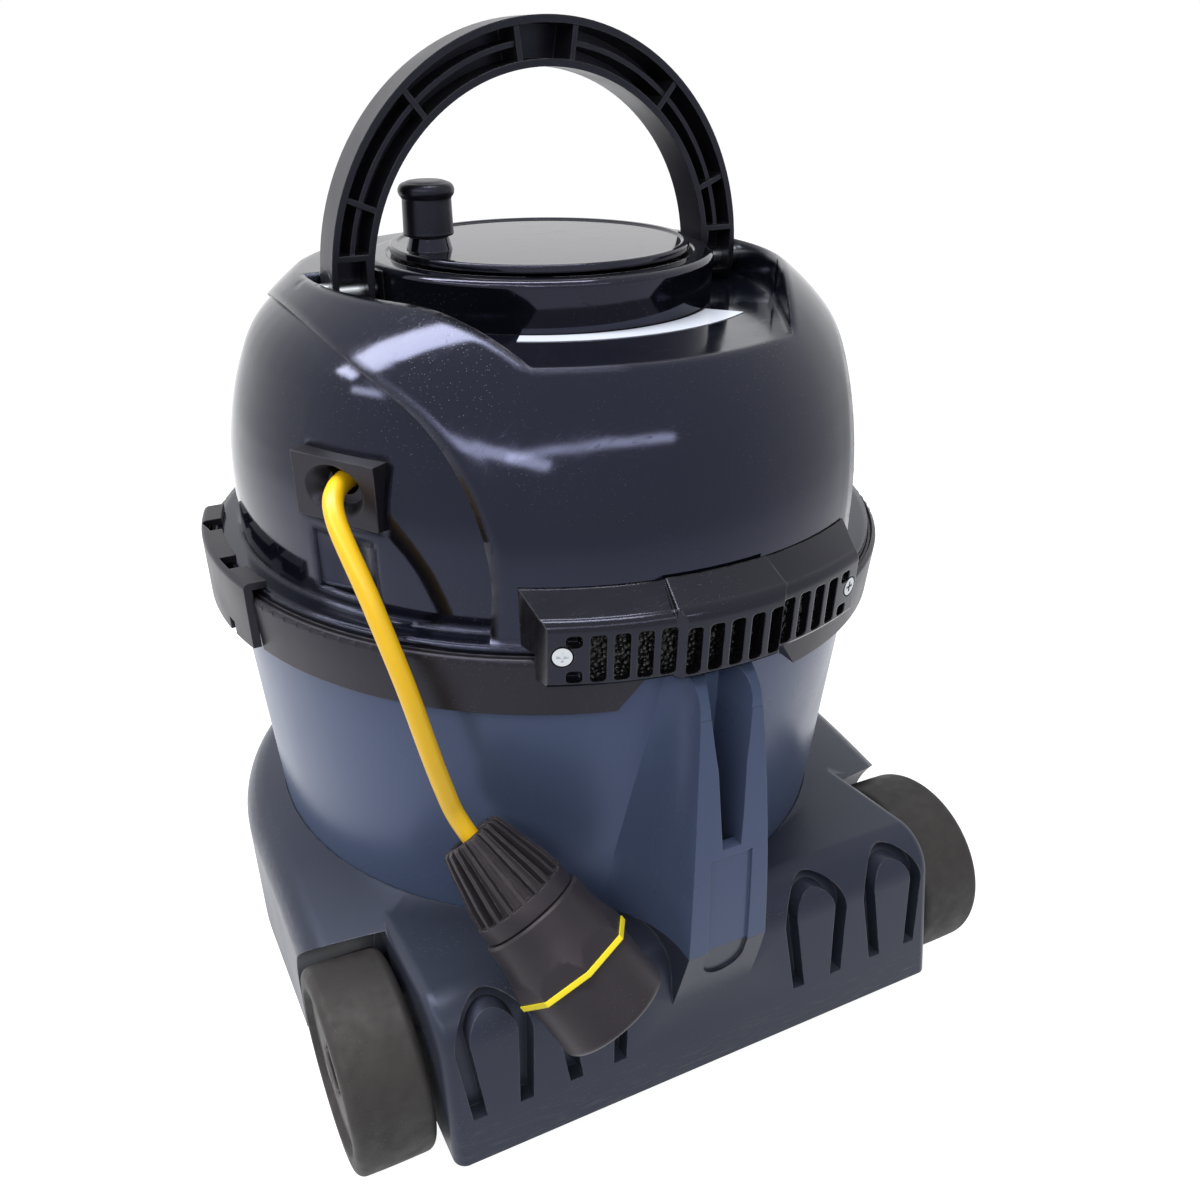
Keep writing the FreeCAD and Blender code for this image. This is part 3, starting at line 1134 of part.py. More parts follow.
def exhaust_foam():
    r = GRILLE_R - GRILLE_WALL - 0.2
    z0 = GRILLE_FOOT_Z + 1.5
    z1 = GRILLE_BROW_Z - 1
    return sector(GRILLE_SPAN - 2 * GRILLE_END - 0.6, (r - 2.6, z0), (r, z0), (r, z1), (r - 2.6, z1))


def grille_screws():
    """Two pan heads with cross recesses, one at each end of the grille."""
    parts = []
    for side in (-1, 1):
        end = side * GRILLE_SCREW_ANGLE
        seat = GRILLE_R - 2.5
        z = GRILLE_SCREW_Z
        screw = screw_hole(end, 4.0, seat, seat + 2.6).fuse(screw_hole(end, 1.6, seat - 14, seat + 1))
        cross = block(-0.6, 0.6, seat + 1.6, seat + 4, z - 2.4, z + 2.4)
        cross = cross.fuse(block(-2.4, 2.4, seat + 1.6, seat + 4, z - 0.6, z + 0.6))
        parts.append(screw.cut(turned(cross, -end)))
    return Part.Compound(parts)


def cable_grommet():
    """Rectangular bezel with a bell-mouthed hole that narrows to the cable's throat."""
    half_x, half_z = OUTLET_SIZE[0] / 2, OUTLET_SIZE[1] / 2
    body = outlet_block(half_x, half_z, OUTLET_BACK_R, OUTLET_FACE_R)
    sections = ((0.0, 0.0), (3.0, 3.4), (7.5, 6.2))
    wires = []
    for depth, shrink in sections:
        centre = outlet_frame(0, OUTLET_FACE_R + 0.01 - depth, 0)
        long_axis = outlet_frame(OUTLET_MOUTH[0] - shrink, OUTLET_FACE_R + 0.01 - depth, 0)
        up = outlet_frame(0, OUTLET_FACE_R + 0.01 - depth, OUTLET_MOUTH[1] - shrink * 0.62)
        wires.append(Part.Wire([Part.Ellipse(long_axis, up, centre).toShape()]))
    bell = Part.makeLoft(wires, True, False)
    axis = outlet_frame(0, 1, 0) - outlet_frame(0, 0, 0)
    seat = outlet_frame(0, OUTLET_BACK_R + OUTLET_SEAT, OUTLET_RISE)
    throat = Part.makeCylinder(THROAT_R, 40, seat, axis)
    return body.cut([bell, throat])


def switch_bezel():
    """Frame and switch body set into the front deck of the head."""
    frame = block(-16.5, 16.5, -111, -85, TOP_Z, TOP_Z + 1.8)
    frame = frame.makeFillet(2.5, [e for e in frame.Edges if e.BoundBox.ZLength > 1])
    can = block(-13.2, 13.2, -107.7, -88.3, LEDGE_Z - 8, TOP_Z + 0.5)
    body = joined([frame, can])
    return body.cut(block(-10.5, 10.5, -105, -91, TOP_Z - 9, TOP_Z + 5))


def power_rocker():
    """Two-position rocker paddle on a pivot across the switch."""
    z = TOP_Z - 2.5
    half = 10.5 - GAP
    face = outline(yz, (-5.8, z + 3.6), ((0, z + 5.2), (5.8, z + 3.6)), (5.0, z - 2),
                   ((0, z - 4.4), (-5.0, z - 2)))
    return moved(face.extrude(Vector(2 * half, 0, 0)), x=-half, y=-98)


# ================================================================ cord and plug
def cord_tube():
    """Tube along straight runs joined by tangent arcs; prints the bend radii."""
    seat_r = OUTLET_BACK_R + OUTLET_SEAT
    points = [outlet_frame(0, r, OUTLET_RISE) for r in (seat_r, seat_r + OUTLET_LEAD)]
    points += [Vector(*p) for p in CORD_ROUTE]
    points += [PLUG_MOUTH - PLUG_AIM * PLUG_LEAD, PLUG_MOUTH + PLUG_AIM * PLUG_SOCKET]
    edges = []
    here = points[0]
    radii = []
    runs = []
    for a, b, c in zip(points, points[1:], points[2:]):
        u = (b - a)
        v = (c - b)
        run = min(u.Length, v.Length)
        turn = u.getAngle(v)
        u.normalize()
        v.normalize()
        radius = 0.45 * run / math.tan(turn / 2)
        radii.append(radius)
        runs.append((b - a).Length)
        cut = 0.45 * run
        start, stop = b - u * cut, b + v * cut
        inward = (v - u).normalize()
        middle = b + inward * (radius / math.cos(turn / 2) - radius)
        edges.append(Part.makeLine(here, start))
        edges.append(Part.Arc(start, middle, stop).toShape())
        here = stop
    edges.append(Part.makeLine(here, points[-1]))
    path = Part.Wire(edges)
    section = Part.Wire([Part.Circle(points[0], points[1] - points[0], CORD_D / 2).toShape()])
    tube = path.makePipeShell([section], True, True)
    runs.append((points[-1] - points[-2]).Length)
    print("cord %.1f mm, radii %s" % (path.Length, " ".join("%.0f" % r for r in radii)))
    print("cord runs %s" % " ".join("%.1f" % run for run in runs))
    print("cord volume / section x length = %.4f"
          % (tube.Volume / (math.pi * CORD_D ** 2 / 4 * path.Length)))
    return tube


def plug_place(shape):
    """From the plug's own frame (mouth at the origin, front towards +Z) to where it leans."""
    copy = shape.copy()
    turn = Rotation(Vector(0, 0, 1), PLUG_AIM)
    copy.Placement = Placement(PLUG_MOUTH, turn).multiply(copy.Placement)
    return copy


def plug_lathe(*points):
    return outline(rz, *points).revolve(Vector(0, 0, 0), Vector(0, 0, 1), 360)


def plug_gland():
    """Tapered gland nut with an open mouth, a clamp seat for the cord and eighteen ribs."""
    seat = PLUG_SOCKET
    end = GLAND_LENGTH
    r = GLAND_END_R
    mouth = CORD_D / 2 + 3.5
    body = plug_lathe((mouth, 1.5), (11, 0), (12.6, 1), (16, 15), (r - 1, end - 6), (r, end),
                      (0, end), (0, seat), (mouth, seat))
    ribs = []
    for i in range(GLAND_RIBS):
        rib = outline(rz, (11.5, 0.6), (14.0, 1.4), (17.8, 15), (r + 0.8, end - 7), (r - 0.4, end - 4),
                      (16, end - 4), (11, 14))
        rib = moved(rib.extrude(Vector(0, 1.9, 0)), y=-0.95)
        ribs.append(turned(rib, i * 360 / GLAND_RIBS))
    return joined([body] + ribs)


def prism(sides, r, z0, z1):
    """Upright prism with its flats at radius r."""
    k = r / math.cos(math.pi / sides)
    pts = [Vector(k * math.cos(math.pi * (2 * i + 1) / sides),
                  k * math.sin(math.pi * (2 * i + 1) / sides), z0) for i in range(sides)]
    return Part.Face(Part.makePolygon(pts + pts[:1])).extrude(Vector(0, 0, z1 - z0))


def plug_body():
    """Housing with a round collar that grows into an eight-sided grip, and the latch."""
    z0 = GLAND_LENGTH
    z1 = GRIP_END
    r = GLAND_END_R
    f = GRIP_FLAT
    neck = z0 + 11
    collar = plug_lathe((0, z0), (r + 1.0, z0), (r + 1.8, z0 + 1), (r + 2.4, neck), (0, neck))
    grip = plug_lathe((0, neck), (r + 2.4, neck), (r + 3.4, neck + 6), (f + 2.4, z1), (0, z1))
    grip = grip.common(prism(8, f - 0.6, neck - 1, z1 + 1))
    latch = block(-6.5, 6.5, r, f + 1.6, neck - 2, z1 - 5)
    latch = latch.makeFillet(1.6, [e for e in latch.Edges if e.CenterOfMass.y > f + 1.5])
    latch = latch.cut(Part.makeCylinder(1.8, 6, Vector(0, f + 0.4, neck + 3), Vector(0, 1, 0)))
    return joined([collar, grip, turned(latch, LATCH_TURN)])


def plug_ring():
    """Flat eight-sided ring between grip and front."""
    return prism(8, GRIP_FLAT, GRIP_END, RING_END)


def plug_front():
    """Round front with a chamfered edge and a shroud round the pins."""
    z0, z1 = RING_END, FRONT_END
    r = PLUG_FRONT_R
    inner = r - SHROUD_WALL
    return plug_lathe((0, z0), (r, z0), (r, z1 - 3), ((r - 0.7, z1 - 0.9), (r - 2.4, z1)),
                      (inner, z1), (inner, PIN_FACE), (0, PIN_FACE))


def plug_pins():
    """Round contact pins, inside the shroud."""
    face = PIN_FACE
    tip = face + PIN_LENGTH
    pins = []
    for x in (-9.5, 9.5):
        pin = plug_lathe((0, face), (2.4, face), (2.4, tip - 1.4), (1.4, tip), (0, tip))
        pins.append(moved(pin, x=x))
    return Part.Compound(pins)


# ================================================================ build
def build():
    os.makedirs("parts", exist_ok=True)
    save("base_trolley", base_trolley())
    save("base_screws", base_screws())
    save("drum", drum())
    save("rim_band", rim_band())
    save("inlet_collar", inlet_collar())
    save("inlet_seal", inlet_seal())
    save("bag_collar", bag_collar())
    save("dust_bag", dust_bag())
    save("rear_axle", rear_axle())
    save("axle_caps", axle_caps())
    for side, name in ((1, "left"), (-1, "right")):
        at = castor_at(side)
        save("castor_fork_" + name, moved(castor_fork(), at.x, at.y))
        save("castor_pin_" + name, moved(castor_pin(), at.x, at.y))
        save("castor_wheel_" + name, moved(castor_wheel(), at.x, at.y))
        for label, make in (("wheel_hub_", wheel_hub), ("wheel_tyre_", wheel_tyre),
                            ("clip_", clip), ("clip_pin_", clip_pin)):
            shape = make()
            save(label + name, shape if side > 0 else mirrored(shape))
    for make in (head_shell, motor_deck, deck_screws, head_seal, motor_can, bearings, stator,
                 armature, brush_holders, motor_shaft, fan_wheel, motor_mounts, filter_frame,
                 filter_cloth, reel_cover, handle_pins, carry_handle, crank_disc, knob_pin,
                 crank_knob, cable_spool, wound_cable, reel_spindle, exhaust_grille,
                 exhaust_foam, grille_screws, cable_grommet, switch_bezel, power_rocker):
        save(make.__name__, make())
    save("power_cord", cord_tube())
    for make in (plug_gland, plug_body, plug_ring, plug_front, plug_pins):
        save(make.__name__, plug_place(make()))


build()
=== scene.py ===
"""Finishes, cable, bag and studio of a tub vacuum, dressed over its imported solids."""

import json
import logging
import math
from dataclasses import dataclass, field
from enum import Enum

import bmesh
import bpy
from mathutils import Matrix, Vector

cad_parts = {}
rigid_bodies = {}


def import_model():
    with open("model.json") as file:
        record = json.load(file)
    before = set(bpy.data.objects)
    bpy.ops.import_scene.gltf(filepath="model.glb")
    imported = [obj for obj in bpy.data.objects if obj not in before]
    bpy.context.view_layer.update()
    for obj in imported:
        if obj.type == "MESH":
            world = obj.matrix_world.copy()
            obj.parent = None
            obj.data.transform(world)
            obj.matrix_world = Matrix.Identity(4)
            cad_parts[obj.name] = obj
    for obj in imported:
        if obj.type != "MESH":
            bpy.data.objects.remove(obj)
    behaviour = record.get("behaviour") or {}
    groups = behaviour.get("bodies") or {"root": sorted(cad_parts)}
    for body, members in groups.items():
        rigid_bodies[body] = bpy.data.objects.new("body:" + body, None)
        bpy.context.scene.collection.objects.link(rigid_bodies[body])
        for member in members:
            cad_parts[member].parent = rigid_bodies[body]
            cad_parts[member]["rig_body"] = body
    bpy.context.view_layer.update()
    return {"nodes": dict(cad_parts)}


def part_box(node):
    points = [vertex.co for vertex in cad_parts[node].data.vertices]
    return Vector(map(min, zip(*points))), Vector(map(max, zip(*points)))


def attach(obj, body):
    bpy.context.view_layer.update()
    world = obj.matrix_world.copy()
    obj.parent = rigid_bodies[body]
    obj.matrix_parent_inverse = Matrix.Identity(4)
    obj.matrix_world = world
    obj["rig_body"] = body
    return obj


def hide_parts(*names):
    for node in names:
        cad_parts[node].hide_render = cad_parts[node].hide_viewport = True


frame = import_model()
LOG = logging.getLogger("tub_vacuum")

MM = 0.001
AXIS_Y = -9.5 * MM
CREASE = math.radians(31.0)


class Side(Enum):
    """The two sides of the machine."""

    LEFT = "left"
    RIGHT = "right"


class Use(Enum):
    """How much a surface has been knocked about; the value scales its dust and scuffs."""

    CLEAN = 0.0
    HANDLED = 0.55
    SCUFFED = 1.0


def linear(code: str) -> tuple[float, float, float, float]:
    """Turn an sRGB hex colour into linear RGBA.

    Args:
        code: Colour as "#RRGGBB".

    Returns:
        Linear red, green, blue and an alpha of 1.
    """
    channels = (int(code[i:i + 2], 16) / 255 for i in (1, 3, 5))
    return (*(c / 12.92 if c <= 0.04045 else ((c + 0.055) / 1.055) ** 2.4 for c in channels), 1.0)


def per_mm(size: float) -> float:
    """Texture scale whose features are about size millimetres wide."""
    return 1000.0 / size


def add(tree: bpy.types.NodeTree, kind: str, inputs: dict | None = None, **settings) -> bpy.types.Node:
    """Add a node, set its options, and fill or link its inputs.

    Args:
        tree: Node tree that gets the node.
        kind: Node type.
        inputs: Socket name or number to a value or an output socket.
        settings: Attributes of the node.

    Returns:
        The new node.
    """
    made = tree.nodes.new(kind)
    for name, value in settings.items():
        setattr(made, name, value)
    for key, value in (inputs or {}).items():
        if isinstance(value, bpy.types.NodeSocket):
            tree.links.new(value, made.inputs[key])
        else:
            made.inputs[key].default_value = value
    return made


# ---------------------------------------------------------------- finishes
@dataclass(frozen=True)
class Finish:
    """A material: its real name, the record's slot it belongs to, and its base look."""

    name: str
    slot: str
    colour: str
    rough: float
    ior: float = 1.5
    metal: float = 0.0
    mottle: float = 0.10
    mottle_mm: float = 22.0
    grain_mm: float = 0.7
    grain_depth: float = 0.02
    use: Use = Use.CLEAN
    # Tint of every reflection on the finish. Where it is blue, it is a painted reflection that stands in for a
    # cool sky reflected in the surface.
    cast: str = "#FFFFFF"
    soften: float = 0.6

    def material(self) -> bpy.types.Material:
        """Build the material once and return it after that."""
        known = bpy.data.materials.get(self.name)
        if known:
            return known
        made = bpy.data.materials.new(self.name)
        made.use_nodes = True
        tree = made.node_tree
        tree.nodes.clear()
        shader = add(tree, "ShaderNodeBsdfPrincipled", {"IOR": self.ior, "Metallic": self.metal,
                                                        "Specular Tint": linear(self.cast)})
        add(tree, "ShaderNodeOutputMaterial", {"Surface": shader.outputs[0]})
        self.paint(tree, shader)
        return made

    def paint(self, tree: bpy.types.NodeTree, shader: bpy.types.Node) -> None:
        """Colour, roughness and relief: a mottled moulded surface with its grain and its wear.

        Args:
            tree: The material's node tree.
            shader: Its principled shader.
        """
        place = add(tree, "ShaderNodeTexCoord").outputs["Object"]
        colour, rough = self.body(tree, place)
        if self.use is not Use.CLEAN:
            colour, rough = self.wear(tree, place, colour, rough)
        tree.links.new(colour, shader.inputs["Base Color"])
        tree.links.new(rough, shader.inputs["Roughness"])
        tree.links.new(self.relief(tree, place), shader.inputs["Normal"])

    def body(self, tree: bpy.types.NodeTree, place: bpy.types.NodeSocket) -> tuple:
        """Base colour and roughness with a slow, faint variation.

        Args:
            tree: The material's node tree.
            place: Object coordinates.

        Returns:
            Colour and roughness sockets.
        """
        slow = add(tree, "ShaderNodeTexNoise", {"Vector": place, "Scale": per_mm(self.mottle_mm),
                                                "Detail": 3.0})
        base = linear(self.colour)
        low = tuple(c * (1 - self.mottle) for c in base[:3]) + (1.0,)
        high = tuple(min(1.0, c * (1 + self.mottle) + 0.002) for c in base[:3]) + (1.0,)
        colour = add(tree, "ShaderNodeMix", {0: slow.outputs["Fac"], 6: low, 7: high}, data_type="RGBA")
        rough = add(tree, "ShaderNodeMapRange", {
            "Value": slow.outputs["Fac"], "From Min": 0.3, "From Max": 0.7,
            "To Min": self.rough * 0.88, "To Max": min(1.0, self.rough * 1.12)})
        return colour.outputs[2], rough.outputs[0]

    def wear(self, tree: bpy.types.NodeTree, place: bpy.types.NodeSocket,
             colour: bpy.types.NodeSocket, rough: bpy.types.NodeSocket) -> tuple:
        """Pale dust specks, paler rubbed edges and drier patches.

        Args:
            tree: The material's node tree.
            place: Object coordinates.
            colour: Clean colour.
            rough: Clean roughness.

        Returns:
            Colour and roughness sockets with the wear on them.
        """
        amount = self.use.value
        patch = add(tree, "ShaderNodeTexNoise", {"Vector": place, "Scale": per_mm(55.0), "Detail": 4.0,
                                                 "Roughness": 0.6})
        where = add(tree, "ShaderNodeMapRange", {"Value": patch.outputs["Fac"], "From Min": 0.46,
                                                 "From Max": 0.72, "To Max": amount})
        fleck = add(tree, "ShaderNodeTexVoronoi", {"Vector": place, "Scale": per_mm(1.5), "Randomness": 1.0})
        speck = add(tree, "ShaderNodeMapRange", {"Value": fleck.outputs["Distance"], "From Min": 0.06,
                                                 "From Max": 0.16, "To Min": 0.7, "To Max": 0.0})
        dust = add(tree, "ShaderNodeMath", {0: speck.outputs[0], 1: where.outputs[0]}, operation="MULTIPLY")
        dusty = add(tree, "ShaderNodeMix", {0: dust.outputs[0], 6: colour, 7: linear("#9A968E")},
                    data_type="RGBA")
        rubbed = self.edges(tree, place)
        edge = add(tree, "ShaderNodeMath", {0: rubbed, 1: 0.42 * amount}, operation="MULTIPLY")
        pale = add(tree, "ShaderNodeMix", {0: edge.outputs[0], 6: dusty.outputs[2], 7: linear("#7C7872")},
                   data_type="RGBA")
        drier = add(tree, "ShaderNodeMath", {0: dust.outputs[0], 1: 0.5, 2: rough}, operation="MULTIPLY_ADD",
                    use_clamp=True)
        return pale.outputs[2], drier.outputs[0]

    def edges(self, tree: bpy.types.NodeTree, place: bpy.types.NodeSocket) -> bpy.types.NodeSocket:
        """Mask of edges within a millimetre or so, broken up by noise.

        Args:
            tree: The material's node tree.
            place: Object coordinates.

        Returns:
            A socket that is 1 on a rubbed edge and 0 elsewhere.
        """
        rounded = add(tree, "ShaderNodeBevel", {"Radius": 1.1 * MM}, samples=4)
        true = add(tree, "ShaderNodeNewGeometry")
        bend = add(tree, "ShaderNodeVectorMath", {0: rounded.outputs[0], 1: true.outputs["Normal"]},
                   operation="DOT_PRODUCT")
        edge = add(tree, "ShaderNodeMapRange", {"Value": bend.outputs["Value"], "From Min": 0.82,
                                                "From Max": 0.985, "To Min": 1.0, "To Max": 0.0})
        rub = add(tree, "ShaderNodeTexNoise", {"Vector": place, "Scale": per_mm(6.0), "Detail": 5.0})
        some = add(tree, "ShaderNodeMapRange", {"Value": rub.outputs["Fac"], "From Min": 0.38,
                                                "From Max": 0.62})
        return add(tree, "ShaderNodeMath", {0: edge.outputs[0], 1: some.outputs[0]},
                   operation="MULTIPLY").outputs[0]

    def relief(self, tree: bpy.types.NodeTree, place: bpy.types.NodeSocket) -> bpy.types.NodeSocket:
        """Fine moulded grain over softened edges.

        Args:
            tree: The material's node tree.
            place: Object coordinates.

        Returns:
            A normal socket.
        """
        soft = add(tree, "ShaderNodeBevel", {"Radius": self.soften * MM}, samples=6)
        grain = add(tree, "ShaderNodeTexNoise", {"Vector": place, "Scale": per_mm(self.grain_mm),
                                                 "Detail": 2.0})
        return add(tree, "ShaderNodeBump", {"Height": grain.outputs["Fac"], "Strength": 0.35,
                                            "Distance": self.grain_depth * MM,
                                            "Normal": soft.outputs[0]}).outputs[0]


@dataclass(frozen=True)
class PolishedPlastic(Finish):
    """Gloss mouldings: a deep shine with hairline scratches and a film of dust."""

    scratch_mm: float = 46.0

    def body(self, tree: bpy.types.NodeTree, place: bpy.types.NodeSocket) -> tuple:
        """Base colour, and a roughness that rises along hairline scratches.

        Args:
            tree: The material's node tree.
            place: Object coordinates.

        Returns:
            Colour and roughness sockets.
        """
        colour, rough = super().body(tree, place)
        turned = add(tree, "ShaderNodeMapping", {"Vector": place, "Rotation": (0.5, 0.9, 0.4),
                                                 "Scale": (1.0, 14.0, 3.0)})
        hair = add(tree, "ShaderNodeTexNoise", {"Vector": turned.outputs[0], "Scale": per_mm(self.scratch_mm),
                                                "Detail": 2.0})
        off = add(tree, "ShaderNodeMath", {0: hair.outputs["Fac"], 1: 0.5}, operation="SUBTRACT")
        near = add(tree, "ShaderNodeMath", {0: off.outputs[0]}, operation="ABSOLUTE")
        line = add(tree, "ShaderNodeMapRange", {"Value": near.outputs[0], "From Min": 0.0, "From Max": 0.006,
                                                "To Min": 0.16, "To Max": 0.0})
        film = add(tree, "ShaderNodeTexNoise", {"Vector": place, "Scale": per_mm(70.0), "Detail": 6.0,
                                                "Roughness": 0.65})
        haze = add(tree, "ShaderNodeMapRange", {"Value": film.outputs["Fac"], "From Min": 0.5,
                                                "From Max": 0.75, "To Max": 0.12})
        both = add(tree, "ShaderNodeMath", {0: line.outputs[0], 1: haze.outputs[0]}, operation="ADD")
        worn = add(tree, "ShaderNodeMath", {0: rough, 1: both.outputs[0]}, operation="ADD")
        return colour, worn.outputs[0]


@dataclass(frozen=True)
class TubPlastic(Finish):
    """Slate mouldings of drum and trolley, scraped pale along the foot of the rear wall."""

    scrape_top: float = 52.0

    def wear(self, tree: bpy.types.NodeTree, place: bpy.types.NodeSocket,
             colour: bpy.types.NodeSocket, rough: bpy.types.NodeSocket) -> tuple:
        """The usual wear, with level scrapes near the floor and a settled film of dust.

        Args:
            tree: The material's node tree.
            place: Object coordinates.
            colour: Clean colour.
            rough: Clean roughness.

        Returns:
            Colour and roughness sockets with the wear on them.
        """
        colour, rough = super().wear(tree, place, colour, rough)
        height = add(tree, "ShaderNodeSeparateXYZ", {0: place})
        low = add(tree, "ShaderNodeMapRange", {"Value": height.outputs["Z"], "From Min": 24 * MM,
                                               "From Max": self.scrape_top * MM, "To Min": 1.0, "To Max": 0.0})
        drawn = add(tree, "ShaderNodeMapping", {"Vector": place, "Scale": (1.0, 1.0, 26.0)})
        streak = add(tree, "ShaderNodeTexNoise", {"Vector": drawn.outputs[0], "Scale": per_mm(16.0),
                                                  "Detail": 5.0, "Roughness": 0.7})
        mark = add(tree, "ShaderNodeMapRange", {"Value": streak.outputs["Fac"], "From Min": 0.55,
                                                "From Max": 0.68, "To Max": 0.55 * self.use.value})
        scraped = add(tree, "ShaderNodeMath", {0: mark.outputs[0], 1: low.outputs[0]}, operation="MULTIPLY")
        pale = add(tree, "ShaderNodeMix", {0: scraped.outputs[0], 6: colour, 7: linear("#8E8C88")},
                   data_type="RGBA")
        drier = add(tree, "ShaderNodeMath", {0: scraped.outputs[0], 1: 0.4, 2: rough},
                    operation="MULTIPLY_ADD", use_clamp=True)
        return pale.outputs[2], drier.outputs[0]


@dataclass(frozen=True)
class OpenFoam(Finish):
    """Reticulated foam: a black web of cells."""

    cell_mm: float = 1.9

    def relief(self, tree: bpy.types.NodeTree, place: bpy.types.NodeSocket) -> bpy.types.NodeSocket:
        """Deep round cells.

        Args:
            tree: The material's node tree.
            place: Object coordinates.

        Returns:
            A normal socket.
        """
        cells = add(tree, "ShaderNodeTexVoronoi", {"Vector": place, "Scale": per_mm(self.cell_mm)})
        return add(tree, "ShaderNodeBump", {"Height": cells.outputs["Distance"], "Strength": 1.0,
                                            "Distance": 1.6 * MM}).outputs[0]


@dataclass(frozen=True)
class Felted(Finish):
    """Non-woven fleece, felt or board: matted fibres, drawn coarser than they are so that they show."""

    fibre_mm: float = 0.9

    def relief(self, tree: bpy.types.NodeTree, place: bpy.types.NodeSocket) -> bpy.types.NodeSocket:
        """Crossing fibres.

        Args:
            tree: The material's node tree.
            place: Object coordinates.

        Returns:
            A normal socket.
        """
        fibres = add(tree, "ShaderNodeTexWave", {"Vector": place, "Scale": per_mm(self.fibre_mm) / 20,
                                                 "Distortion": 14.0, "Detail": 4.0})
        return add(tree, "ShaderNodeBump", {"Height": fibres.outputs["Fac"], "Strength": 0.6,
                                            "Distance": 0.2 * MM}).outputs[0]


@dataclass(frozen=True)
class DrawnMetal(Finish):
    """Metal parts: plated, turned or drawn, with a faint directional grain."""

    def relief(self, tree: bpy.types.NodeTree, place: bpy.types.NodeSocket) -> bpy.types.NodeSocket:
        """Tool marks round the part.

        Args:
            tree: The material's node tree.
            place: Object coordinates.

        Returns:
            A normal socket.
        """
        drawn = add(tree, "ShaderNodeMapping", {"Vector": place, "Scale": (1.0, 1.0, 18.0)})
        marks = add(tree, "ShaderNodeTexNoise", {"Vector": drawn.outputs[0], "Detail": 3.0,
                                                 "Scale": per_mm(self.grain_mm * 8)})
        return add(tree, "ShaderNodeBump", {"Height": marks.outputs["Fac"], "Strength": 0.3,
                                            "Distance": self.grain_depth * MM}).outputs[0]


# Injection-moulded ABS, polished tool: near black, mirror shine, fingerprints and hairlines. Its blue cast is
# painted reflection: the blue tint on its reflections and the blue in its black stand in for a cool sky reflected
# in it.
GLOSS_ABS = PolishedPlastic("abs_polished_black", "gloss_black", "#08090F", 0.06, ior=1.5, mottle=0.05,
                            grain_mm=3.0, grain_depth=0.004, use=Use.HANDLED, cast="#D2D2F6")
# The same on the head, whose arch edges and mouth are moulded with generous rounds; its blue reflection tint and
# bluish black are painted reflection as well.
HEAD_ABS = PolishedPlastic("abs_polished_head", "gloss_black", "#090B14", 0.07, ior=1.5, mottle=0.05,
                           grain_mm=3.0, grain_depth=0.004, use=Use.HANDLED, cast="#C4CAF4", soften=5.0)
# The grille's ABS: as glossy, with a warmer black and rounded bars; its bluish reflection tint is painted
# reflection as well.
GRILLE_ABS = PolishedPlastic("abs_polished_grille", "satin_black", "#100F13", 0.11, ior=1.5, mottle=0.05,
                             grain_mm=3.0, grain_depth=0.004, use=Use.HANDLED, cast="#B8BCD8", soften=0.9)
# Injection-moulded polypropylene, fine spark-eroded tool: dull black whose corners rub to grey.
SATIN_PP = Finish("polypropylene_satin_black", "satin_black", "#17161A", 0.38, ior=1.49, grain_mm=0.5,
                  grain_depth=0.03, use=Use.HANDLED, cast="#B8B6CC")
# The same in the handle, where hands keep it a little glossier.
HANDLE_PP = Finish("polypropylene_handle_black", "satin_black", "#17161B", 0.32, ior=1.49, grain_mm=0.5,
                   grain_depth=0.025, use=Use.HANDLED, cast="#ACAECC")
# Slate polypropylene of the drum: cool blue-grey, semi-gloss, with a powdery film. Its colour is painted lighter
# than the trolley's, which is the same plastic, as painted light, and its blue reflection tint is painted
# reflection.
DRUM_PP_PAINTED_LIGHT = TubPlastic("polypropylene_slate_drum_painted_light", "slate_plastic", "#4B5771", 0.30, ior=1.49, mottle=0.06,
                     mottle_mm=60.0, grain_mm=1.2, grain_depth=0.012, use=Use.HANDLED, cast="#A4B6EE",
                     scrape_top=30.0)
# The trolley's moulding: the same slate, painted darker than the drum to stand in for shade, scraped along its
# foot.
BASE_PP_PAINTED_SHADE = TubPlastic("polypropylene_slate_trolley_painted_shade", "slate_plastic", "#2D313C", 0.35, ior=1.49, mottle=0.07,
                     mottle_mm=60.0, grain_mm=1.2, grain_depth=0.012, use=Use.SCUFFED, cast="#A8AECC")
# Moulded wheel discs: matt brown-black, dusty.
WHEEL_PP = Finish("polypropylene_wheel_black", "wheel_plastic", "#151110", 0.50, ior=1.49, mottle=0.16,
                  mottle_mm=9.0, grain_mm=0.9, grain_depth=0.04, use=Use.HANDLED, cast="#8A807C")
# Soft tread rubber: dull, picks up grit.
TYRE_RUBBER = Finish("rubber_tread_black", "tyre_rubber", "#1C1918", 0.68, ior=1.52, mottle=0.2, mottle_mm=7.0,
                     grain_mm=1.1, grain_depth=0.06, use=Use.SCUFFED)
# Moulded seal rubber.
SEAL_RUBBER = Finish("rubber_seal_black", "seal_rubber", "#151515", 0.6, ior=1.52)
# Zinc-plated pressed steel: pale grey, soft shine.
ZINC_STEEL = DrawnMetal("steel_zinc_plated", "zinc_steel", "#B9BDC1", 0.32, metal=1.0, mottle=0.08,
                        mottle_mm=3.0)
# Deep-drawn bare steel of the motor.
MOTOR_STEEL = DrawnMetal("steel_deep_drawn", "motor_steel", "#9A9DA1", 0.38, metal=1.0, mottle=0.08)
# Die-cast aluminium impeller.
CAST_ALLOY = DrawnMetal("aluminium_die_cast", "alloy", "#C4C6C8", 0.42, metal=1.0, mottle=0.06)
# Enamelled copper windings: orange-brown with a varnish shine.
ENAMEL_COPPER = DrawnMetal("copper_enamelled", "copper_winding", "#B4622F", 0.28, metal=1.0, grain_mm=0.4,
                           grain_depth=0.2, mottle=0.12)
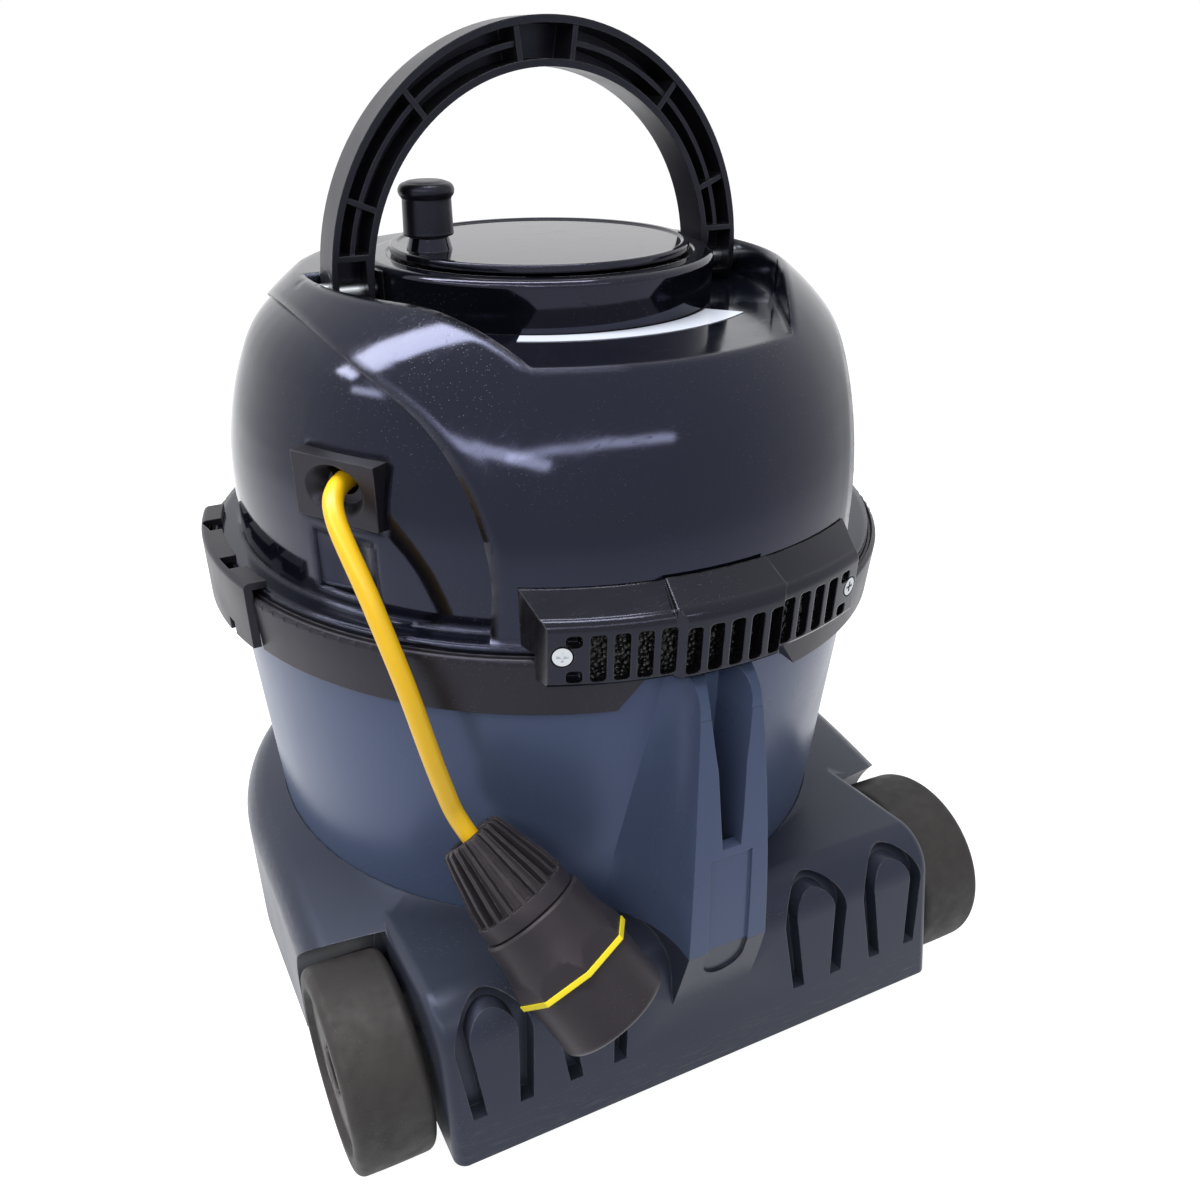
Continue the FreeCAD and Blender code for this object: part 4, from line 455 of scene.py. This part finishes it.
# Nickel-plated contact pins.
PIN_NICKEL = DrawnMetal("brass_nickel_plated", "bright_pin", "#D2CFC6", 0.18, metal=1.0, mottle=0.04)
# Flexible PVC sheath: warm yellow, satin, a little grubby.
CABLE_PVC = Finish("pvc_sheath_yellow", "cord_yellow", "#F4C213", 0.36, ior=1.53, mottle=0.05, mottle_mm=14.0,
                   grain_mm=0.9, grain_depth=0.01, use=Use.CLEAN)
# Glass-filled nylon of the plug: charcoal, dry, with rubbed ribs.
PLUG_NYLON = Finish("nylon_charcoal", "charcoal_plastic", "#29262A", 0.42, ior=1.53, grain_mm=0.5,
                    grain_depth=0.03, use=Use.HANDLED, cast="#A49CA4")
# The clamp's pale nylon, dusty and rough.
CLAMP_NYLON = Finish("nylon_grey", "charcoal_plastic", "#7E7B76", 0.6, ior=1.53, mottle=0.35, mottle_mm=2.0,
                     grain_mm=1.2, grain_depth=0.5)
# The plug's yellow sealing ring.
RING_PVC = Finish("elastomer_ring_yellow", "ring_yellow", "#F0DC1E", 0.42, ior=1.5, mottle=0.04)
# Open-cell polyether foam behind the grille.
BLACK_FOAM = OpenFoam("foam_polyether_black", "foam", "#08080A", 0.35, ior=1.4)
# Three-ply fleece of the dust bag.
BAG_FLEECE = Felted("fleece_bag_cream", "bag_fleece", "#DCD4C0", 0.85, ior=1.45)
# Blank silvered film of the rating plate: pale, faintly blue, satin.
PLATE_FILM = Finish("polyester_film_silvered", "zinc_steel", "#D4DAE6", 0.24, mottle=0.03, grain_depth=0.0)
# Needle felt of the main filter.
FILTER_FELT = Felted("felt_filter_grey", "filter_fabric", "#C9C9C4", 0.9, ior=1.45)
# Grey board of the bag's collar.
GREY_BOARD = Felted("board_grey", "card", "#A88C66", 0.8, ior=1.45, fibre_mm=1.6)


# ---------------------------------------------------------------- pieces taken from the solids
@dataclass
class Moulding:
    """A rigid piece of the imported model, shown with smooth faces and crisp edges."""

    node: str
    finish: Finish
    crease: float = CREASE

    def build(self) -> bpy.types.Object:
        """Merge a copy of the solid's mesh, shade it and dress it.

        Returns:
            The object that stands for the node.
        """
        source = frame["nodes"][self.node]
        shape = bmesh.new()
        shape.from_mesh(source.data)
        bmesh.ops.remove_doubles(shape, verts=shape.verts, dist=0.002 * MM)
        bmesh.ops.dissolve_degenerate(shape, edges=shape.edges, dist=0.001 * MM)
        for face in shape.faces:
            face.smooth = True
        for edge in shape.edges:
            edge.smooth = len(edge.link_faces) == 2 and edge.calc_face_angle(0.0) < self.crease
        piece = new_piece(self.node + "_surface", shape, self.finish)
        fix = piece.modifiers.new("weighted normals", "WEIGHTED_NORMAL")
        fix.keep_sharp = True
        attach(piece, source["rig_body"])
        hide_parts(self.node)
        LOG.info("%s: %d faces in %s", piece.name, len(piece.data.polygons), self.finish.name)
        return piece


def new_piece(name: str, shape: bmesh.types.BMesh, finish: Finish) -> bpy.types.Object:
    """Turn a bmesh into an object with its finish, and free the bmesh.

    Args:
        name: Name of the piece.
        shape: Its mesh, in metres, in place.
        finish: Its finish.

    Returns:
        The linked object.
    """
    mesh = bpy.data.meshes.new(name)
    shape.to_mesh(mesh)
    shape.free()
    piece = bpy.data.objects.new(name, mesh)
    bpy.context.scene.collection.objects.link(piece)
    mesh.materials.append(finish.material())
    return piece


def spun(profile: list[tuple[float, float]], steps: int) -> bmesh.types.BMesh:
    """Turn a profile of (radius, height) in metres round the drum's axis.

    Args:
        profile: Points of the open or closed outline.
        steps: Facets in a full turn.

    Returns:
        The merged mesh with its normals outwards.
    """
    shape = bmesh.new()
    points = [shape.verts.new((r, AXIS_Y, z)) for r, z in profile]
    edges = [shape.edges.new(pair) for pair in zip(points, points[1:])]
    bmesh.ops.spin(shape, geom=points + edges, cent=(0, AXIS_Y, 0), axis=(0, 0, 1), angle=math.tau,
                   steps=steps, use_merge=True)
    bmesh.ops.remove_doubles(shape, verts=shape.verts, dist=0.01 * MM)
    bmesh.ops.recalc_face_normals(shape, faces=shape.faces)
    return shape


# ---------------------------------------------------------------- sub-assemblies
@dataclass
class Trolley:
    """Trolley moulding with its screws, axle, wheels and castors."""

    fixed: tuple = (("base_trolley", BASE_PP_PAINTED_SHADE), ("base_screws", ZINC_STEEL), ("rear_axle", ZINC_STEEL),
                    ("axle_caps", WHEEL_PP))
    paired: tuple = (("wheel_hub_", WHEEL_PP), ("wheel_tyre_", TYRE_RUBBER), ("castor_fork_", ZINC_STEEL),
                     ("castor_pin_", ZINC_STEEL), ("castor_wheel_", WHEEL_PP))

    def build(self) -> None:
        """Dress the trolley's pieces on both sides."""
        for node, finish in self.fixed:
            Moulding(node, finish).build()
        for side in Side:
            for stem, finish in self.paired:
                Moulding(stem + side.value, finish).build()


@dataclass
class Tub:
    """Drum, rim band, clips and hose inlet, with the dust bag inside."""

    fixed: tuple = (("drum", DRUM_PP_PAINTED_LIGHT), ("rim_band", SATIN_PP), ("inlet_collar", SATIN_PP),
                    ("inlet_seal", SEAL_RUBBER), ("bag_collar", GREY_BOARD))
    paired: tuple = (("clip_", SATIN_PP), ("clip_pin_", ZINC_STEEL))
    puffs: int = 7
    pucker: float = 5.0 * MM

    def build(self) -> None:
        """Dress the drum's pieces and make the bag."""
        for node, finish in self.fixed:
            Moulding(node, finish).build()
        for side in Side:
            for stem, finish in self.paired:
                Moulding(stem + side.value, finish).build()
        self.bag()

    def bag(self) -> bpy.types.Object:
        """A part-filled fleece bag: a flattened pillow with a seam and soft creases.

        Returns:
            The bag.
        """
        low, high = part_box("dust_bag")
        neck_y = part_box("bag_collar")[1].y + 0.4 * MM
        middle = Vector((0, (high.y + neck_y) / 2 + 9 * MM, (low.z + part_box("drum")[0].z + 102 * MM) / 2))
        half = Vector((high.x - 3 * MM, high.y - middle.y - 3 * MM, middle.z - low.z - 1 * MM))
        shape = bmesh.new()
        bmesh.ops.create_icosphere(shape, subdivisions=5, radius=1.0)
        for vert in shape.verts:
            turn = math.atan2(vert.co.y, vert.co.x)
            fold = self.pucker * math.cos(self.puffs * turn) * (1 - abs(vert.co.z)) ** 2
            flat = math.copysign(abs(vert.co.z) ** 0.75, vert.co.z)
            vert.co = Vector((vert.co.x * (half.x - abs(fold)), vert.co.y * (half.y - abs(fold)),
                              flat * (half.z + fold * 0.5) * 0.94)) + middle
        piece = new_piece("dust_bag_fleece", shape, BAG_FLEECE)
        for face in piece.data.polygons:
            face.use_smooth = True
        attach(piece, "root")
        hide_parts("dust_bag")
        return piece


@dataclass
class Head:
    """Domed shell, motor, filter, switch and cable outlet."""

    fixed: tuple = (("head_shell", HEAD_ABS), ("motor_deck", SATIN_PP), ("head_seal", SEAL_RUBBER),
                    ("deck_screws", ZINC_STEEL), ("motor_can", MOTOR_STEEL), ("stator", ENAMEL_COPPER),
                    ("armature", ENAMEL_COPPER), ("motor_shaft", MOTOR_STEEL), ("fan_wheel", CAST_ALLOY),
                    ("brush_holders", ENAMEL_COPPER), ("bearings", MOTOR_STEEL), ("motor_mounts", SEAL_RUBBER),
                    ("filter_frame", SATIN_PP), ("cable_grommet", SATIN_PP), ("switch_bezel", SATIN_PP),
                    ("power_rocker", GLOSS_ABS))
    felt: float = 1.6 * MM
    filter_clear: float = 0.4 * MM
    filter_lift: float = 0.3 * MM
    filter_round: float = 4 * MM
    filter_taper: float = 0.775
    film: float = 0.3 * MM
    plate_start: float = math.radians(59.0)
    plate_sweep: float = math.radians(71.0)
    plate_inner: float = 83.0 * MM
    plate_outer: tuple[float, float] = (93.0 * MM, 101.0 * MM)

    def build(self) -> None:
        """Dress the head's pieces and make the filter and the blank plate."""
        for node, finish in self.fixed:
            Moulding(node, finish).build()
        self.filter()
        self.plate()

    def plate(self) -> bpy.types.Object:
        """Blank film plate on the ledge, bent round the cover and wider at one end.

        Returns:
            The plate.
        """
        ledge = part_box("reel_cover")[0].z
        axis = Vector((0, AXIS_Y, 0))
        shape = bmesh.new()
        near, far = self.plate_inner, self.plate_outer[0]
        outline = ((near, 0), (far, 0), (far, 1), (near, 1))
        face = shape.faces.new([shape.verts.new(axis + Vector((r, 0, ledge + z * self.film))) for r, z in outline])
        bmesh.ops.rotate(shape, verts=shape.verts, cent=axis, matrix=Matrix.Rotation(self.plate_start, 3, "Z"))
        bmesh.ops.spin(shape, geom=[face], cent=axis, axis=(0, 0, 1), angle=self.plate_sweep, steps=48)
        for vert in shape.verts:
            out = vert.co - axis
            flat = Vector((out.x, out.y, 0))
            share = (math.atan2(out.y, out.x) - self.plate_start) / self.plate_sweep
            if flat.length > self.plate_inner + MM:
                far = self.plate_outer[0] + (self.plate_outer[1] - self.plate_outer[0]) * share ** 2
                vert.co = axis + flat.normalized() * far + Vector((0, 0, out.z))
        bmesh.ops.recalc_face_normals(shape, faces=shape.faces)
        piece = new_piece("rating_plate_blank", shape, PLATE_FILM)
        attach(piece, "root")
        return piece

    def filter(self) -> bpy.types.Object:
        """Tapered felt filter with a flat foot, of one thickness all over.

        Returns:
            The filter.
        """
        low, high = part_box("filter_cloth")
        wide = (high.x - low.x) / 2 - self.filter_clear
        rise = high.z - low.z
        foot = wide - 0.5 * MM - rise * self.filter_taper
        floor = low.z + self.filter_lift
        profile = [(0.0, floor), (foot - self.filter_round, floor), (foot, low.z + 1.2 * MM),
                   (wide, high.z - self.filter_clear)]
        shape = spun(profile, 120)
        bmesh.ops.solidify(shape, geom=shape.faces[:], thickness=self.felt * 0.5)
        piece = new_piece("filter_felt", shape, FILTER_FELT)
        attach(piece, "root")
        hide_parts("filter_cloth")
        return piece


@dataclass
class Reel:
    """Cover, crank and spool of the cable reel."""

    fixed: tuple = (("reel_cover", GLOSS_ABS), ("crank_disc", GLOSS_ABS), ("crank_knob", HANDLE_PP),
                    ("knob_pin", ZINC_STEEL), ("cable_spool", SATIN_PP), ("reel_spindle", MOTOR_STEEL))
    cable: float = 8.5 * MM
    core: float = 0.5
    arc_steps: int = 4

    def build(self) -> None:
        """Dress the reel and wind its cable."""
        for node, finish in self.fixed:
            Moulding(node, finish).build()
        self.winding()

    def winding(self) -> bpy.types.Object:
        """Stored cable as level rows of turns, which only their outer halves show.

        Returns:
            The winding.
        """
        low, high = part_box("wound_cable")
        rows = int((high.z - low.z) / self.cable)
        pitch = (high.z - low.z) / rows
        outer = high.x
        inner = high.x * self.core
        profile = [(inner, low.z)]
        for row in range(rows):
            middle = low.z + pitch * (row + 0.5)
            for step in range(-self.arc_steps, self.arc_steps + 1):
                turn = math.radians(step * 80 / self.arc_steps)
                profile.append((outer - pitch / 2 + pitch / 2 * math.cos(turn),
                                middle + pitch / 2 * math.sin(turn)))
        profile += [(inner, high.z), (inner, low.z)]
        piece = new_piece("wound_cable_turns", spun(profile, 90), CABLE_PVC)
        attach(piece, "reel")
        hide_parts("wound_cable")
        return piece


@dataclass
class Handle:
    """Carry handle on its two pins."""

    fixed: tuple = (("carry_handle", HANDLE_PP), ("handle_pins", ZINC_STEEL))

    def build(self) -> None:
        """Dress the handle."""
        for node, finish in self.fixed:
            Moulding(node, finish).build()


@dataclass
class Grille:
    """Exhaust grille with the foam behind its slots."""

    fixed: tuple = (("exhaust_grille", GRILLE_ABS), ("grille_screws", ZINC_STEEL))
    lump: float = 0.5 * MM
    waves: tuple[float, float, float] = (2300.0, 3100.0, 2900.0)

    def build(self) -> None:
        """Dress the grille and make its foam."""
        for node, finish in self.fixed:
            Moulding(node, finish).build()
        self.foam()

    def foam(self) -> bpy.types.Object:
        """A bent strip of open foam with a rough face.

        Returns:
            The strip.
        """
        shape = bmesh.new()
        shape.from_mesh(frame["nodes"]["exhaust_foam"].data)
        bmesh.ops.remove_doubles(shape, verts=shape.verts, dist=0.002 * MM)
        bmesh.ops.subdivide_edges(shape, edges=shape.edges[:], cuts=3, use_grid_fill=True)
        axis = Vector((0, AXIS_Y, 0))
        for vert in shape.verts:
            out = (vert.co - axis) * Vector((1, 1, 0))
            x, y, z = (along * rate for along, rate in zip(vert.co, self.waves))
            wave = math.sin(x) * math.cos(z) + math.sin(y)
            vert.co -= out.normalized() * self.lump * 0.5 * (1 + wave / 2)
        piece = new_piece("exhaust_foam_strip", shape, BLACK_FOAM)
        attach(piece, "root")
        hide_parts("exhaust_foam")
        return piece


@dataclass
class Gland:
    """Ribbed gland nut of the plug, with the clamp that grips the cable in its mouth."""

    mouth: tuple[float, float, float] = (107.0, 152.0, 179.0)
    aim: tuple[float, float, float] = (-0.404, 0.610, -0.685)
    ribs: int = 20
    rib_width: float = 1.7
    nut: tuple = ((8.2, 11.6), (7.9, 2.6), (8.7, 0.7), (10.3, 0.0), (11.6, 0.5), (12.2, 2.0), (13.2, 8.0),
                  (14.6, 15.0), (18.6, 33.6), (22.3, 33.9), (22.6, 34.8), (22.6, 41.2), (22.0, 41.9),
                  (8.2, 41.9))
    rib: tuple = ((11.4, 0.3), (12.6, 0.0), (14.4, 1.0), (16.2, 7.0), (18.2, 15.0), (20.8, 25.0), (22.4, 34.0),
                  (18.0, 34.2), (14.0, 15.0), (11.6, 4.0))
    clamp: tuple = ((4.6, 9.6), (5.2, 7.4), (6.6, 6.8), (7.9, 7.6), (7.9, 9.8))

    def placed(self, shape: bmesh.types.BMesh) -> bmesh.types.BMesh:
        """Move a mesh from millimetres in the gland's own frame to its place.

        Args:
            shape: Mesh with the mouth at the origin and the plug's front towards +Z.

        Returns:
            The same mesh, in metres, in place.
        """
        turn = Vector((0, 0, 1)).rotation_difference(Vector(self.aim).normalized()).to_matrix().to_4x4()
        where = Matrix.Translation(Vector(self.mouth) * MM + Vector((0, AXIS_Y, 0)))
        bmesh.ops.transform(shape, matrix=where @ turn @ Matrix.Scale(MM, 4), verts=shape.verts)
        return shape

    @staticmethod
    def lathe(profile: tuple, steps: int = 80) -> bmesh.types.BMesh:
        """Turn a closed outline round the gland's axis.

        Args:
            profile: Points (radius, distance from the mouth) in millimetres.
            steps: Facets in a full turn.

        Returns:
            The closed mesh, normals outwards.
        """
        shape = bmesh.new()
        points = [shape.verts.new((r, 0, z)) for r, z in profile]
        edges = [shape.edges.new(pair) for pair in zip(points, points[1:] + points[:1])]
        bmesh.ops.spin(shape, geom=points + edges, cent=(0, 0, 0), axis=(0, 0, 1), angle=math.tau,
                       steps=steps, use_merge=True)
        bmesh.ops.remove_doubles(shape, verts=shape.verts, dist=0.01)
        bmesh.ops.recalc_face_normals(shape, faces=shape.faces)
        return shape

    def build(self) -> list[bpy.types.Object]:
        """Make the nut and its clamp.

        Returns:
            Both pieces.
        """
        nut = self.lathe(self.nut)
        for number in range(self.ribs):
            rib = bmesh.new()
            face = rib.faces.new([rib.verts.new((r, -self.rib_width / 2, z)) for r, z in self.rib])
            grown = bmesh.ops.extrude_face_region(rib, geom=[face])
            far = [item for item in grown["geom"] if isinstance(item, bmesh.types.BMVert)]
            bmesh.ops.translate(rib, verts=far, vec=(0, self.rib_width, 0))
            bmesh.ops.recalc_face_normals(rib, faces=rib.faces)
            bmesh.ops.rotate(rib, verts=rib.verts, cent=(0, 0, 0),
                             matrix=Matrix.Rotation(math.tau * number / self.ribs, 3, "Z"))
            carrier = bpy.data.meshes.new("rib")
            rib.to_mesh(carrier)
            rib.free()
            nut.from_mesh(carrier)
            bpy.data.meshes.remove(carrier)
        clamp = self.lathe(self.clamp)
        made = [(new_piece("plug_gland_nut", self.placed(nut), PLUG_NYLON), "plug_gland"),
                (new_piece("plug_cable_clamp", self.placed(clamp), CLAMP_NYLON), None)]
        for piece, node in made:
            self.shade(piece)
            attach(piece, "root")
            if node:
                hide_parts(node)
        return [piece for piece, _ in made]

    @staticmethod
    def shade(piece: bpy.types.Object) -> None:
        """Smooth the turned faces and keep the steps crisp.

        Args:
            piece: A finished piece.
        """
        shape = bmesh.new()
        shape.from_mesh(piece.data)
        for face in shape.faces:
            face.smooth = True
        for edge in shape.edges:
            edge.smooth = len(edge.link_faces) == 2 and edge.calc_face_angle(0.0) < CREASE
        shape.to_mesh(piece.data)
        shape.free()


@dataclass
class Flex:
    """Mains cable from the outlet to its plug."""

    diameter: float = 8.5 * MM
    length: float = 0.194
    route: tuple = (
        (115.74, 75.16, 319.0), (125.38, 81.42, 319.0), (133.6, 90.2, 316.4), (136.0, 99.0, 310.4),
        (134.8, 108.6, 301.0), (131.8, 119.0, 287.5), (128.2, 128.3, 269.5), (123.6, 137.0, 247.5),
        (119.4, 142.6, 224.0), (114.9, 145.6, 203.0), (109.82, 147.74, 183.78), (102.16, 159.30, 170.80))
    plug: tuple = (("plug_body", PLUG_NYLON), ("plug_ring", RING_PVC),
                   ("plug_front", PLUG_NYLON), ("plug_pins", PIN_NICKEL))

    def build(self) -> None:
        """Lay the cable on its route and dress the plug."""
        plug = [Moulding(node, finish).build() for node, finish in self.plug] + Gland().build()
        points = [Vector(p) * MM + Vector((0, AXIS_Y, 0)) for p in self.route]
        curve = bpy.data.curves.new("mains_cable", "CURVE")
        curve.dimensions = "3D"
        spline = curve.splines.new("NURBS")
        spline.points.add(len(points) - 1)
        for knot, point in zip(spline.points, points):
            knot.co = (*point, 1.0)
        spline.order_u = 3
        spline.use_endpoint_u = True
        spline.resolution_u = 12
        curve.bevel_depth = self.diameter / 2
        curve.bevel_resolution = 6
        curve.use_fill_caps = True
        piece = bpy.data.objects.new("mains_cable", curve)
        bpy.context.scene.collection.objects.link(piece)
        curve.materials.append(CABLE_PVC.material())
        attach(piece, "root")
        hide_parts("power_cord")
        LOG.info("mains_cable: %d points", len(points))


# ---------------------------------------------------------------- studio
@dataclass
class Lamp:
    """A long soft lamp, like a shop's ceiling fitting."""

    name: str
    place: tuple[float, float, float]
    size: tuple[float, float]
    power: float
    tint: str = "#FFFFFF"

    def build(self, aim: Vector) -> None:
        """Hang the lamp and turn it to a point.

        Args:
            aim: The point that it faces.
        """
        data = bpy.data.lights.new(self.name, "AREA")
        data.shape = "RECTANGLE"
        data.size, data.size_y = self.size
        data.energy = self.power
        data.color = linear(self.tint)[:3]
        lamp = bpy.data.objects.new(self.name, data)
        lamp.location = self.place
        lamp.rotation_euler = (aim - Vector(self.place)).to_track_quat("-Z", "Y").to_euler()
        bpy.context.scene.collection.objects.link(lamp)


@dataclass
class Studio:
    """Pale floor, plain soft light, and the camera."""

    eye: tuple[float, float, float] = (221.8, 475.2, 466.9)
    aim: tuple[float, float, float] = (16.43, 31.33, 166.01)
    roll: float = -0.66
    lens: float = 30.96
    shift: tuple[float, float] = (0.0494, 0.0665)
    floor_half: float = 40.0
    lamp_aim: tuple[float, float, float] = (0.0, 0.0, 0.2)
    lamps: tuple = (Lamp("key_lamp", (1.3, 0.7, 1.3), (2.4, 0.16), 12.0),
                    Lamp("rear_lamp", (0.2, 1.7, 1.5), (2.0, 0.12), 6.0),
                    Lamp("top_lamp", (0.5, -0.2, 1.8), (0.3, 2.4), 44.0))

    def build(self) -> None:
        """Set up floor, world, lamps and camera."""
        scene = bpy.context.scene
        scene.view_settings.view_transform = "Standard"
        self.floor()
        self.world()
        for lamp in self.lamps:
            lamp.build(Vector(self.lamp_aim))
        self.camera()

    def camera(self) -> None:
        """Put the camera where it looks down on the rear of the machine."""
        offset = Vector((0, AXIS_Y, 0))
        eye = Vector(self.eye) * MM + offset
        aim = Vector(self.aim) * MM + offset
        data = bpy.data.cameras.new("camera")
        data.sensor_width = 36.0
        data.lens = self.lens
        data.shift_x, data.shift_y = self.shift
        data.clip_start = 0.01
        camera = bpy.data.objects.new("camera", data)
        facing = (aim - eye).to_track_quat("-Z", "Y").to_matrix()
        turned = facing @ Matrix.Rotation(math.radians(self.roll), 3, "Z")
        camera.matrix_world = Matrix.Translation(eye) @ turned.to_4x4()
        bpy.context.scene.collection.objects.link(camera)
        bpy.context.scene.camera = camera

    def floor(self) -> None:
        """A wide pale floor."""
        shape = bmesh.new()
        bmesh.ops.create_grid(shape, x_segments=1, y_segments=1, size=self.floor_half)
        mesh = bpy.data.meshes.new("floor")
        shape.to_mesh(mesh)
        shape.free()
        paint = bpy.data.materials.new("backdrop_paper_white")
        paint.use_nodes = True
        tree = paint.node_tree
        tree.nodes.clear()
        paper = add(tree, "ShaderNodeBsdfDiffuse", {"Color": linear("#9A9A9E")})
        shade = add(tree, "ShaderNodeBsdfDiffuse", {"Color": linear("#A8A8AA")})
        glow = add(tree, "ShaderNodeEmission", {"Color": linear("#FFFFFF"), "Strength": 0.9})
        lifted = add(tree, "ShaderNodeAddShader", {0: shade.outputs[0], 1: glow.outputs[0]})
        shown = add(tree, "ShaderNodeMixShader", {0: self.seen(tree), 1: paper.outputs[0],
                                                  2: lifted.outputs[0]})
        add(tree, "ShaderNodeOutputMaterial", {"Surface": shown.outputs[0]})
        mesh.materials.append(paint)
        floor = bpy.data.objects.new("floor", mesh)
        bpy.context.scene.collection.objects.link(floor)

    @staticmethod
    def seen(tree: bpy.types.NodeTree) -> bpy.types.NodeSocket:
        """Mask of what is looked at: camera, glossy and transmitted rays.

        Args:
            tree: Node tree of the backdrop.

        Returns:
            A socket that is 1 for such rays and 0 for light that falls on the object.
        """
        path = add(tree, "ShaderNodeLightPath")
        direct = add(tree, "ShaderNodeMath", {0: path.outputs["Is Camera Ray"],
                                              1: path.outputs["Is Glossy Ray"]},
                     operation="ADD", use_clamp=True)
        return add(tree, "ShaderNodeMath", {0: direct.outputs[0], 1: path.outputs["Is Transmission Ray"]},
                   operation="ADD", use_clamp=True).outputs[0]

    def world(self) -> None:
        """White to the camera and in reflections, softer as a light."""
        world = bpy.data.worlds.new("studio")
        bpy.context.scene.world = world
        world.use_nodes = True
        tree = world.node_tree
        tree.nodes.clear()
        light = add(tree, "ShaderNodeBackground", {"Color": linear("#F4F7FF"), "Strength": 0.32})
        back = add(tree, "ShaderNodeBackground", {"Color": linear("#FFFFFF"), "Strength": 1.0})
        both = add(tree, "ShaderNodeMixShader", {0: self.seen(tree), 1: light.outputs[0], 2: back.outputs[0]})
        add(tree, "ShaderNodeOutputWorld", {"Surface": both.outputs[0]})


@dataclass
class Vacuum:
    """The whole machine."""

    parts: list = field(default_factory=lambda: [Trolley(), Tub(), Head(), Reel(), Handle(), Grille(), Flex()])

    def build(self) -> None:
        """Build every sub-assembly in order."""
        for part in self.parts:
            part.build()
            LOG.info("%s done", type(part).__name__)


def main() -> None:
    """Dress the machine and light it."""
    logging.basicConfig(level=logging.INFO, format="%(name)s: %(message)s")
    Vacuum().build()
    Studio().build()
    bpy.context.view_layer.update()


if __name__ == "__main__":
    main()
